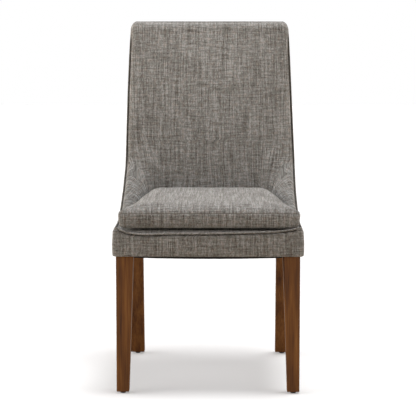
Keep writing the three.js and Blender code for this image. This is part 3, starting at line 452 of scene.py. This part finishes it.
def wing_row(share, along):
    edge = edge_points("wing", share, mix(tip_round, elbow_round, along))
    depth, z = seam_at("wing", share)
    wall_x = cushion_half(depth) + wall_gap
    wall_top = inside_bottom + 1.2 * mm + wall_rise * (1 - math.exp((438 * mm - z) / wall_ease))
    foot = Vector((wall_x, depth, inside_bottom))
    brow = Vector((min(wall_x + wall_top_run, (wall_x + edge[0].x) / 2), depth, wall_top))
    foot = drawn_in(foot, wall_x, reclined(back_face, foot.z), 1)
    brow = drawn_in(brow, brow.x, reclined(back_face, brow.z), 1)
    slope = (brow + edge[0]) / 2 + Vector((0, 0, 9 * mm * along))
    row = [foot, brow, slope] + edge
    if share < wing_shares[1]:
        row = [Vector((spot.x, spot.y, tuck_height)) for spot in row]
    return [None] * (len(columns) - 1) + row


def back_row(stretch, share, rise, corner):
    edge = edge_points(stretch, share, mix(edge_round, elbow_round, corner) if corner else edge_round)
    crest_z = seam_at("elbow", 1, edge_round)[1]
    z = edge[0].z if rise is None else mix(inside_bottom, crest_z, rise)
    depth = edge[0].y if rise is None else reclined(back_face, z)
    row = [Vector((column * edge[0].x, depth - corner * corner_pull * pull, z))
           for column, pull in zip(columns, pulls)]
    row = [drawn_in(spot, columns[-1] * edge[0].x, depth, corner ** 0.35) for spot in row]
    last = row[-1]
    for flat_share, run, climb in ((0.3, 0.15, 0.45), (0.65, 0.5, 0.78)):
        between = last.lerp(edge[0], mix(flat_share, run, corner))
        between.z = mix(last.z, edge[0].z, mix(flat_share, climb, corner))
        row.append(between)
    return row + edge


inside_rows = [wing_row(share, i / len(wing_shares)) for i, share in enumerate(wing_shares)]
inside_rows += [back_row(*row) for row in back_rows]
half_columns = len(inside_rows[0]) - 1
inside = bmesh.new()
bmesh.ops.create_grid(inside, x_segments=2 * half_columns, y_segments=len(inside_rows) - 1, size=0.5)
unused = []
for corner in inside.verts:
    column = round((corner.co.x + 0.5) * 2 * half_columns) - half_columns
    row = round((corner.co.y + 0.5) * (len(inside_rows) - 1))
    spot = inside_rows[row][abs(column)]
    if spot is None:
        unused.append(corner)
    else:
        corner.co = point(spot.x if column >= 0 else -spot.x, spot.y, spot.z)
bmesh.ops.delete(inside, geom=unused, context="VERTS")


def subdivided(form, levels):
    """The bmesh after Catmull-Clark subdivision, with its boundary kept."""
    mesh = bpy.data.meshes.new("blank")
    form.to_mesh(mesh)
    form.free()
    blank = bpy.data.objects.new("blank", mesh)
    collection.objects.link(blank)
    smoother = blank.modifiers.new("smooth", "SUBSURF")
    smoother.levels = smoother.render_levels = levels
    smoother.boundary_smooth = "PRESERVE_CORNERS"
    result = bmesh.new()
    result.from_object(blank, bpy.context.evaluated_depsgraph_get())
    bpy.data.objects.remove(blank)
    bpy.data.meshes.remove(mesh)
    return result


crest_sag = 3 * mm
crest_centre = Vector((570 * mm, 947 * mm))
crest_power = 3.5
back_crown = 5 * mm
inside = subdivided(inside, 3)
for corner in inside.verts:
    x, depth, z = corner.co.x, corner.co.y - front_plane, corner.co.z
    half = side_x(0, depth, z)
    run, rise = crest_centre.x - depth, z - crest_centre.y
    if run > 0 and rise > 0:
        reach = math.hypot(run, rise)
        fuller = ((run / reach) ** crest_power + (rise / reach) ** crest_power) ** (-1 / crest_power) - 1
        fuller *= smoothstep(reach, corner_round + 2 * mm, corner_round + edge_round)
        corner.co.y -= run * fuller
        corner.co.z += rise * fuller
    corner.co.z -= crest_sag * smoothstep(z, 0.9, 0.965) * (1 - (abs(x) / half) ** 4)
    on_back = smoothstep(z, 0.49, 0.6) * (1 - smoothstep(z, 0.86, 0.955))
    corner.co.y -= back_crown * on_back * max(1 - (abs(x) / (half - 20 * mm)) ** 2.5, 0)
crease_x = 180 * mm


def inside_threads(co, face):
    """The cloth runs up the back, and on the wings it turns forwards, with its yarns still upright."""
    forward = max(reclined(back_face, co.z) - (co.y - front_plane), 0) * (co.z < 0.64)
    behind = max(co.y - front_plane - reclined(back_face, co.z), 0) * (co.z > 0.9)
    on_wing = smoothstep(forward, 3 * mm, 45 * mm)
    past = abs(co.x) - crease_x
    return math.copysign(abs(co.x) - on_wing * past + forward, co.x), co.z + on_wing * past + behind


lay_weave(inside, inside_threads)
settle(inside)
bmesh.ops.recalc_face_normals(inside, faces=inside.faces)
inside_piece = finished(inside, "inside_back_and_wings", fabric, ["inside_cover"])
backing = inside_piece.modifiers.new("cloth thickness", "SOLIDIFY")
backing.thickness = 1.5 * mm
backing.offset = -1

# Deck cover: platform cloth over a thin pad, which shows as a strip between the cushion and the
# welt. Its front edge is sewn in with the welt, and it narrows between the wings.

deck_top = 437.2 * mm
deck_front = 3.6 * mm
deck_rear = 449 * mm
deck_slope_end = 30 * mm
band_top_middle = 426.4 * mm
welt_radius = 2.5 * mm


def band_top(x):
    """Height of the band's upper edge: it climbs to the corners, and it dips a little at the left."""
    side = abs(x) / band_half
    if x > 0:
        rise = 14.5 * side ** 8 + 4.3 * x / (160 * mm)
    else:
        rise = 30 * side ** 12 - 2.4 * math.exp(-((x + 170 * mm) / (45 * mm)) ** 2)
    return min(band_top_middle + rise * mm, 442.2 * mm)


def deck_half(depth):
    if depth < corner_round:
        reach = corner_round - deck_front
        across = math.sqrt(max(reach ** 2 - (corner_round - depth) ** 2, 0))
        return side_x(corner_round, corner_round, deck_top) + across
    return side_x(mix(5.9, 17.6, smoothstep(depth, 0.19, 0.22)) * mm, depth, deck_top)


def deck_place(u, v):
    depth = deck_front + (deck_rear - deck_front) * v ** 2.2
    x = (2 * u - 1) * deck_half(depth)
    edge = min(band_top(x) + 5.5 * mm, 443 * mm)
    return point(x, depth, mix(edge, deck_top, smoothstep(depth, deck_front, deck_slope_end)))


deck = bent_grid(96, 40, deck_place)
lay_weave(deck, lambda co, face: (co.x, co.y))
deck_piece = finished(deck, "deck_platform_cloth", fabric, ["deck_cover"])

# Front band: one strip of fabric over a thin wadding, wrapped round the front rail and its two
# rounded corners. Its upper edge is sewn under the welt and its hem is turned under the rail.

band_end = 30.2 * mm
band_hem = [(12, 1.2), (12, 0), (8, 0), (4.4, 0.1), (2.2, 0.8), (0.8, 2.2), (0.1, 4.5), (-0.3, 8)]
band_seam = [(-0.6, 14), (-0.5, 8), (-0.1, 4.2), (1.0, 1.4), (3.1, -0.3), (5.9, -1.9)]
band_middle_rows = 8
band_belly = 0.9 * mm


def profile(v, bottom, top, hem, seam_rows, middle_rows, belly):
    """Inset and height of a cover's face from its hem to its seam, with a padded belly between."""
    steps = len(hem) + middle_rows + len(seam_rows) - 1
    step = round(v * steps)
    if step < len(hem):
        return hem[step][0] * mm, bottom + hem[step][1] * mm
    if step >= len(hem) + middle_rows:
        inset, drop = seam_rows[step - len(hem) - middle_rows]
        return inset * mm, top - drop * mm
    share = (step - len(hem) + 1) / (middle_rows + 1)
    low, high = bottom + hem[-1][1] * mm, top - seam_rows[0][1] * mm
    inset = mix(hem[-1][0], seam_rows[0][0], share) * mm - belly * math.sin(math.pi * share)
    return inset, mix(low, high, share)


def band_place(u, v):
    straight = band_end - corner_round
    bend = corner_round * math.pi / 2
    middle = side_x(corner_round, corner_round, band_bottom)
    run = (2 * u - 1) * (middle + bend + straight)
    sign = math.copysign(1, run)
    past = abs(run) - middle
    turn = min(max(past / corner_round, 0), math.pi / 2)
    x_at = sign * (min(abs(run), middle) + corner_round * math.sin(turn))
    top = band_top(x_at) if past < bend else min(seam_at("flat", 0.03)[1] - 2.8 * mm, 442.2 * mm)
    inset, z = profile(v, band_bottom, top, band_hem, band_seam, band_middle_rows, band_belly)
    shrink = side_x(corner_round, corner_round, z) / middle
    x = sign * (min(abs(run), middle) * shrink + (corner_round - inset) * math.sin(turn))
    depth = corner_round - (corner_round - inset) * math.cos(turn)
    if past > bend:
        depth = corner_round + past - bend
        x = sign * (side_x(0, depth, z) - inset)
    return point(x, depth, z)


band_rows = len(band_hem) + band_middle_rows + len(band_seam) - 1
band = bent_grid(200, band_rows, band_place)
lay_weave(band, lambda co, face: (co.x + math.copysign(co.y - front_plane, co.x), co.z))
bmesh.ops.recalc_face_normals(band, faces=band.faces)
band_piece = finished(band, "front_band_cover", fabric, ["front_band"])
backing = band_piece.modifiers.new("cloth thickness", "SOLIDIFY")
backing.thickness = 1.2 * mm
backing.offset = -1

# Side covers: outside fabric over the seat rail, the wing and the side of the back, sewn to the
# inside cover along the seam and turned under the rail.

side_front = 30.3 * mm
side_rear = 494.7 * mm
side_top = 960.2 * mm
side_hem_bottom = [(12, 1.2), (12, 0), (8, 0), (4.4, 0.1), (2.2, 0.8), (0.8, 2.2), (0.1, 4.5), (-0.2, 8)]
side_hem_rear = [(4.5, 0), (4.0, 0), (3.2, 0.1), (2.2, 0.3), (1.2, 0.9), (0.5, 2.2), (0.1, 4.5), (-0.2, 8)]
side_seam = [(-0.3, 12), (0.1, 8), (0.7, 4.5), (1.7, 2), (3, 0)]
side_middle_rows = 14
bottom_share = 0.5


def side_place(u, v, sign):
    """The cover runs from the edge at its bottom and rear to the seam, which faces it all the way."""
    if u < bottom_share:
        along = u / bottom_share
        outer = Vector((mix(side_front, side_rear, along), band_bottom))
        stretches = (("flat", 0.115, 1, 0.3), ("wing", 0, 1, 0.9), ("elbow", 0, 0.5, 1))
        hem = side_hem_bottom
    else:
        along = (u - bottom_share) / (1 - bottom_share)
        z = mix(band_bottom, side_top, along)
        outer = Vector((reclined(side_rear, z), z))
        stretches = (("elbow", 0.5, 1, 0.12), ("back", 0, 1, 0.93), ("corner", 0, 0.85, 1))
        hem = side_hem_rear
    start = 0
    for stretch, first, last, end in stretches:
        if along <= end:
            inner = seam_at(stretch, mix(first, last, (along - start) / (end - start)), -2.8 * mm)
            break
        start = end
    span = (inner - outer).length
    inset, reach = profile(v, 0, span, hem, side_seam, side_middle_rows, 0.6 * mm)
    depth, z = outer.lerp(inner, reach / span)
    return point(sign * side_x(inset, depth, z), depth, z)


side_rows = len(side_hem_bottom) + side_middle_rows + len(side_seam) - 1
for side, sign in (("left", -1), ("right", 1)):
    cover = bent_grid(120, side_rows, lambda u, v: side_place(u, v, sign))
    lay_weave(cover, lambda co, face: (co.y, co.z))
    settle(cover)
    bmesh.ops.recalc_face_normals(cover, faces=cover.faces)
    if sign * sum(face.normal.x for face in cover.faces) < 0:
        bmesh.ops.reverse_faces(cover, faces=cover.faces)
    cover_piece = finished(cover, f"side_cover_fabric_{side}", fabric, [f"side_cover_{side}"])
    backing = cover_piece.modifiers.new("cloth thickness", "SOLIDIFY")
    backing.thickness = 1.2 * mm
    backing.offset = -1

# Outside back: one flat panel of fabric from the hem under the rear rail to the crest, with rounded
# top corners, drawn round the posts and closed with a blind stitch along the side covers.

back_hem = [(12, 1.2), (12, 0), (8, 0), (4.4, 0.1), (2.2, 0.8), (0.8, 2.2), (0.1, 4.5), (-0.3, 8)]
back_crest = [(-0.4, 14), (-0.1, 9), (0.7, 5), (2.4, 1.6), (5.0, 0)]
back_middle_rows = 40
back_roll = 5 * mm


def back_place(u, v):
    inset, z = profile(v, band_bottom, top_z - 0.4 * mm, back_hem, back_crest, back_middle_rows, 1.5 * mm)
    half = side_x(0, reclined(back_depth, z), z)
    above = z - (top_z - edge_round)
    if above > 0:
        half += math.sqrt(max(edge_round ** 2 - above ** 2, 0)) - edge_round
    x = half * math.sin(math.pi / 2 * (2 * u - 1))
    near = min(max((half - abs(x)) / back_roll, 0), 1)
    roll = back_roll * (1 - math.sqrt(1 - (1 - near) ** 2))
    return point(x, reclined(back_depth - max(inset, 0) - roll * (z > band_bottom + 3 * mm), z), z)


back_rows_count = len(back_hem) + back_middle_rows + len(back_crest) - 1
outside_back = bent_grid(60, back_rows_count, back_place)
lay_weave(outside_back, lambda co, face: (co.x, co.z))
settle(outside_back)
bmesh.ops.recalc_face_normals(outside_back, faces=outside_back.faces)
if sum(face.normal.y for face in outside_back.faces) < 0:
    bmesh.ops.reverse_faces(outside_back, faces=outside_back.faces)
back_piece = finished(outside_back, "outside_back_panel", fabric, ["outside_back_cover"])
backing = back_piece.modifiers.new("cloth thickness", "SOLIDIFY")
backing.thickness = 1.2 * mm
backing.offset = -1

# Welts: cotton cord covered with bias-cut strips of the same fabric, sewn into the side seams and
# into the upper edge of the front band. The side welts get a darker copy of the weave as painted shade.

welt_sides = 12


def welt(name, path, replaced, material):
    """A fabric-covered cord along a path, closed at its ends."""
    steps = len(path) - 1
    lengths = [0.0]
    for a, b in zip(path, path[1:]):
        lengths.append(lengths[-1] + (b - a).length)

    def place(u, v):
        step = round(u * steps)
        along = (path[min(step + 1, steps)] - path[max(step - 1, 0)]).normalized()
        side = along.cross(Vector((1, 0, 0)) if abs(along.x) < 0.9 else Vector((0, 0, 1))).normalized()
        other = along.cross(side)
        turn = 2 * math.pi * v
        return path[step] + welt_radius * (math.cos(turn) * side + math.sin(turn) * other)

    tube = bent_grid(steps, welt_sides, place)
    layer = tube.loops.layers.uv.new("weave")
    tube.verts.ensure_lookup_table()
    for face in tube.faces:
        for loop in face.loops:
            step, turn = loop.vert.index % (steps + 1), loop.vert.index // (steps + 1)
            around = turn / welt_sides * 2 * math.pi * welt_radius
            loop[layer].uv = (lengths[step] * 0.7 + around * 0.7, lengths[step] * 0.7 - around * 0.7)
    bmesh.ops.remove_doubles(tube, verts=tube.verts, dist=0.01 * mm)
    bmesh.ops.holes_fill(tube, edges=[edge for edge in tube.edges if edge.is_boundary], sides=0)
    settle(tube)
    bmesh.ops.recalc_face_normals(tube, faces=tube.faces)
    return finished(tube, name, material, replaced)


seam_line = []
for stretch, steps in (("flat", 30), ("wing", 80), ("elbow", 24), ("back", 60), ("corner", 12), ("top", 8)):
    seam_line += [seam_at(stretch, i / steps) for i in range(0 if stretch == "flat" else 1, steps + 1)]
for side, sign in (("left", -1), ("right", 1)):
    path = []
    for depth, z in seam_line:
        inset = mix(5.2, 2.65, smoothstep(depth, 0.02, 0.09)) + 2.4 * smoothstep(z, 0.925, 0.958)
        path.append(point(sign * side_x(inset * mm, depth, z), depth, z))
    # The side welts take the darker copy of the fabric, which is painted shade.
    welt(f"side_seam_welt_{side}", path, [f"side_welt_{side}"], shaded_side_welt_fabric)

front_line = []
welt_reach = corner_round - welt_radius - 2 * mm
welt_rise = 6.7 * mm
for i in range(-100, 101):
    middle = side_x(corner_round, corner_round, band_top_middle)
    run = i / 100 * (middle + corner_round * math.pi / 2 * 0.85)
    sign = math.copysign(1, run)
    turn = max((abs(run) - middle) / corner_round, 0)
    x = sign * (min(abs(run), middle) + welt_reach * math.sin(turn))
    outer_x = sign * (min(abs(run), middle) + corner_round * math.sin(turn))
    depth = corner_round - (corner_round - 0.8 * mm) * math.cos(turn)
    tucked = smoothstep(turn, 0.8, 1.34)
    z = min(band_top(outer_x) + welt_rise, 447.5 * mm) - 2 * mm * tucked
    front_line.append(point(x - sign * 2.5 * mm * tucked, depth, z))
welt("front_seam_welt", front_line, ["front_welt"], fabric)

# Seat cushion: a boxed cover of the same fabric over a block of foam, lying loose on the deck. It is
# full and slightly crowned, and its upper seam joins the top to the boxing.

cushion_bottom = 437.5 * mm
cushion_seam = 483.6 * mm
cushion_shift = 2.6 * mm
cushion_voxel = 5 * mm
foam_to_cloth = 1.6 * mm
crown_limit = 1.5 * mm
boxing_limit = 1.6 * mm

form = merged_copy("seat_cushion_foam")
mesh = bpy.data.meshes.new("cushion_blank")
form.to_mesh(mesh)
form.free()
cushion = bpy.data.objects.new("cushion_blank", mesh)
collection.objects.link(cushion)
remesh = cushion.modifiers.new("even mesh", "REMESH")
remesh.mode = "VOXEL"
remesh.voxel_size = cushion_voxel
form = bmesh.new()
form.from_object(cushion, bpy.context.evaluated_depsgraph_get())
bpy.data.objects.remove(cushion)
for corner in form.verts:
    corner.co += corner.normal * foam_to_cloth
form.normal_update()
form.verts.ensure_lookup_table()
sewn = [corner.index for corner in form.verts
        if abs(corner.normal.z) < 0.93 and min(abs(corner.co.z - cushion_seam + 2 * mm), abs(corner.co.z - 444 * mm)) < 4 * mm]
before = [corner.co.copy() for corner in form.verts]
after = before
mesh = bpy.data.meshes.new("cushion_cloth")
form.to_mesh(mesh)
cushion = bpy.data.objects.new("cushion_cloth", mesh)
collection.objects.link(cushion)
cushion.vertex_groups.new(name="sewn seams").add(sewn, 1.0, "REPLACE")
cloth = cushion.modifiers.new("inflate", "CLOTH")
cloth.settings.vertex_group_mass = "sewn seams"
cloth.settings.use_pressure = True
cloth.settings.uniform_pressure_force = 4
cloth.settings.effector_weights.gravity = 0
for number in range(1, 21):
    bpy.context.scene.frame_set(number)
swollen = bmesh.new()
swollen.from_object(cushion, bpy.context.evaluated_depsgraph_get())
after = [corner.co.copy() for corner in swollen.verts]
swollen.free()
bpy.context.scene.frame_set(1)
bpy.data.objects.remove(cushion)
for corner, start, end in zip(form.verts, before, after):
    step = end - start
    limit = mix(boxing_limit, crown_limit, smoothstep(abs(corner.normal.z), 0.4, 0.9))
    if step.length > limit:
        step *= limit / step.length
    corner.co = start + step
    corner.co.z = max(corner.co.z, cushion_bottom)
for number in range(2):
    bmesh.ops.smooth_vert(form, verts=form.verts, factor=0.5, use_axis_x=True, use_axis_y=True, use_axis_z=True)
form = subdivided(form, 1)
lip_rise = 5 * mm
side_rise = 10 * mm
rear_rise = 14 * mm
side_bulge = 3 * mm
for corner in form.verts:
    x, depth, z = abs(corner.co.x), corner.co.y - front_plane, corner.co.z
    low = min(max((z - cushion_bottom) / (18 * mm), 0), 1)
    z = cushion_bottom + low ** 1.7 * 18 * mm + max(z - cushion_bottom - 18 * mm, 0)
    lip = lip_rise * (1 - smoothstep(depth, 0.03, 0.1)) * (1 - smoothstep(z, 0.44, 0.475))
    side = side_rise * smoothstep(x, 0.09, 0.15) * smoothstep(depth, 0.15, 0.31) * (1 - smoothstep(depth, 0.37, 0.44))
    rear = rear_rise * smoothstep(depth, 0.34, 0.445) * (1 - 0.45 * smoothstep(x / cushion_half(depth), 0.45, 1))
    corner.co.z = z + lip + (side + rear) * smoothstep(z, 0.447, cushion_seam)
    outwards = smoothstep(x / cushion_half(depth), 0.9, 1) * math.copysign(side_bulge, corner.co.x)
    corner.co.x += outwards * math.exp(-((z - cushion_seam) / (9 * mm)) ** 2) * (1 - smoothstep(depth, 0.1, 0.25))
for height in (-4, -2, -1, 0, 1, 2, 4):
    bmesh.ops.bisect_plane(form, geom=form.verts[:] + form.edges[:] + form.faces[:], dist=0.01 * mm,
                           plane_co=(0, 0, cushion_seam + height * mm), plane_no=(0, 0, 1))
form.normal_update()
seam_depth = 1.8 * mm
seam_width = 1.5 * mm
pucker_depth = 0.5 * mm
pucker_run = 14 * mm
for corner in form.verts:
    outwards = Vector((corner.normal.x, corner.normal.y, 0))
    if corner.co.z < cushion_seam - 30 * mm or outwards.length < 0.2:
        continue
    rise = corner.co.z - cushion_seam
    groove = math.exp(-(rise / seam_width) ** 2)
    place = corner.co * 70
    wave = noise.noise(Vector((place.x, place.y, 0))) * math.exp(-abs(rise) / pucker_run)
    corner.co -= outwards * (seam_depth * groove + pucker_depth * wave)
bmesh.ops.translate(form, verts=form.verts, vec=(cushion_shift, 0, 0))


def cushion_threads(co, face):
    if abs(face.normal.z) > 0.75 or co.z > cushion_seam:
        return co.x, co.y
    if abs(face.normal.y) > abs(face.normal.x):
        return co.x, co.z
    return co.y, co.z


lay_weave(form, cushion_threads)
cushion_piece = finished(form, "seat_cushion", fabric, ["seat_cushion_cover", "seat_cushion_underside"])

# Dust cover: thin black non-woven cloth tacked under the seat frame and cut round the legs. It hangs
# a little between its tacks.

dust_front = 5 * mm
dust_rear = 488 * mm
dust_height = 370.2 * mm
dust_sag = 7 * mm
front_fold = 1.8 * mm
dust_inset = 14 * mm
dust_lines = 48
leg_notch = 4
dust_cloth, tree, surface = start_material("black spun-bonded polypropylene", 0.9)
fibres = node(tree, "TexNoise", {"Vector": node(tree, "TexCoord").outputs["Object"], "Scale": 700, "Detail": 3.0})
tone = node(tree, "ValToRGB", {0: fibres}, [(0.35, "#0b0b0b"), (0.65, "#1d1d1c")])
tree.links.new(tone.outputs[0], surface["Base Color"])
relief = node(tree, "Bump", {"Height": fibres, "Distance": 0.2 * mm})
tree.links.new(relief.outputs[0], surface["Normal"])


def dust_place(u, v):
    near_front = min(v / 0.24, 1)
    depth = mix(dust_front, 57.5 * mm, near_front ** 1.5) + (dust_rear - 57.5 * mm) * max(v - 0.24, 0) / 0.76
    notch_x = mix(196.5, 192.5, v) * mm
    outer_x = 240 * mm - plan_taper * depth
    step = round((2 * u - 1) * dust_lines / 2)
    side = abs(step) / (dust_lines / 2)
    edge_share = 1 - leg_notch / (dust_lines / 2)
    x = side / edge_share * notch_x if side <= edge_share else mix(notch_x, outer_x, (side - edge_share) / (1 - edge_share))
    hang = (1 - side ** 2) * (1 - (2 * v - 1) ** 8)
    fold = front_fold * math.exp(-((depth - 10 * mm) / (5 * mm)) ** 2) * (1 - smoothstep(side, 0.8, 1))
    return point(math.copysign(x, step), depth, dust_height - dust_sag * hang - fold)


dust = bent_grid(dust_lines, 50, dust_place)
cut = []
for face in dust.faces:
    centre = face.calc_center_median()
    depth = centre.y - front_plane
    if (depth < 57 * mm or depth > 451.5 * mm) and abs(centre.x) > mix(196.5, 192.5, depth / dust_rear) * mm - mm:
        cut.append(face)
bmesh.ops.delete(dust, geom=cut, context="FACES")
lay_weave(dust, lambda co, face: (co.x, co.y))
dust_piece = finished(dust, "dust_cover_cloth", dust_cloth, ["dust_cover"])

# Leg bolts and nuts: zinc-plated steel, one through each corner block into the top of its leg.

zinc, tree, surface = start_material("zinc-plated steel", 0.35)
surface["Metallic"].default_value = 1.0
crystals = node(tree, "TexNoise", {"Vector": node(tree, "TexCoord").outputs["Object"], "Scale": 900})
tone = node(tree, "ValToRGB", {0: crystals}, [(0.4, "#8f9194"), (0.6, "#c3c5c8")])
tree.links.new(tone.outputs[0], surface["Base Color"])
finish_nodes(zinc, *[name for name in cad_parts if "leg_bolt" in name or "leg_nut" in name])

# Legs: solid wood, planed square and tapered, with slightly eased edges, stained walnut brown and
# sprayed with satin lacquer. The front pair tapers on its two inner faces and the rear pair rakes back.

leg_ease = 2.4 * mm
front_foot = 33 * mm
rear_foot = 34 * mm
rear_top = 42 * mm
grain_width = 2.6 * mm
grain_length = 90 * mm

lacquer, tree, surface = start_material("walnut-stained wood, satin lacquer", 0.5)
surface["Specular IOR Level"].default_value = 0.3
place = node(tree, "TexCoord").outputs["Object"]
drift = node(tree, "TexNoise", {"Vector": node(tree, "Mapping", {"Vector": place, "Scale": (9, 9, 3)}), "Scale": 1.0})
bend = node(tree, "VectorMath", {0: drift.outputs["Color"], "Scale": 0.012}, operation="SCALE")
warped = node(tree, "VectorMath", {0: place, 1: bend}, operation="ADD")
close = node(tree, "Mapping", {"Vector": warped, "Scale": (1 / grain_width, 1 / grain_width, 1 / grain_length)})
figure = node(tree, "TexNoise", {"Vector": close, "Scale": 1.0, "Detail": 5.0, "Roughness": 0.6})
bands = node(tree, "TexNoise", {"Vector": node(tree, "Mapping", {"Vector": warped, "Scale": (70, 70, 5)}),
                                "Scale": 1.0, "Detail": 2.0})
both = node(tree, "Math", {0: figure, 1: bands}, operation="ADD")
halved = node(tree, "Math", {0: both, 1: 0.5}, operation="MULTIPLY")
stain = node(tree, "ValToRGB", {0: halved}, [(0.34, "#402109"), (0.47, "#603913"), (0.56, "#70461c"), (0.68, "#815529")])
tree.links.new(stain.outputs[0], surface["Base Color"])
relief = node(tree, "Bump", {"Height": figure, "Distance": 0.12 * mm})
tree.links.new(relief.outputs[0], surface["Normal"])

for side, sign in (("left", -1), ("right", 1)):
    for end in ("front", "rear"):
        name = f"{end}_leg_{side}"
        low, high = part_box(name)
        outer = max(abs(low.x), abs(high.x))
        inner = min(abs(low.x), abs(high.x))
        leg = bmesh.new()
        bmesh.ops.create_cube(leg, size=1)
        for corner in leg.verts:
            at_top, at_rear, at_outer = corner.co.z > 0, corner.co.y > 0, corner.co.x > 0
            if end == "front":
                x = outer if at_outer else (inner if at_top else outer - front_foot)
                y = low.y if not at_rear else (high.y if at_top else low.y + front_foot)
            else:
                x = outer if at_outer else inner
                y = (low.y + rear_top * at_rear) if at_top else high.y - rear_foot * (not at_rear)
            corner.co = (sign * x, y, high.z if at_top else low.z)
        uprights = [edge for edge in leg.edges if abs(edge.verts[0].co.z - edge.verts[1].co.z) > 0.1]
        bmesh.ops.bevel(leg, geom=uprights, offset=leg_ease, offset_type="OFFSET", segments=4, profile=0.5,
                        affect="EDGES", material=-1)
        rims = [edge for edge in leg.edges if all(abs(v.co.z - low.z) < mm for v in edge.verts)]
        bmesh.ops.bevel(leg, geom=rims, offset=1.2 * mm, offset_type="OFFSET", segments=2, profile=0.5,
                        affect="EDGES", material=-1)
        bmesh.ops.recalc_face_normals(leg, faces=leg.faces)
        piece = finished(leg, name + "_turned_out", lacquer, [name])
        piece.modifiers.new("flat faces", "WEIGHTED_NORMAL")

# Glides: round nail-on feet moulded in dark plastic, one under each leg.

glide_plastic, tree, surface = start_material("moulded polypropylene", 0.45)
speckle = node(tree, "TexNoise", {"Vector": node(tree, "TexCoord").outputs["Object"], "Scale": 1400})
tone = node(tree, "ValToRGB", {0: speckle}, [(0.3, "#1d1b19"), (0.7, "#332f2b")])
tree.links.new(tone.outputs[0], surface["Base Color"])
relief = node(tree, "Bump", {"Height": speckle, "Distance": 0.05 * mm})
tree.links.new(relief.outputs[0], surface["Normal"])
finish_nodes(glide_plastic, *[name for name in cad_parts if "glide" in name])
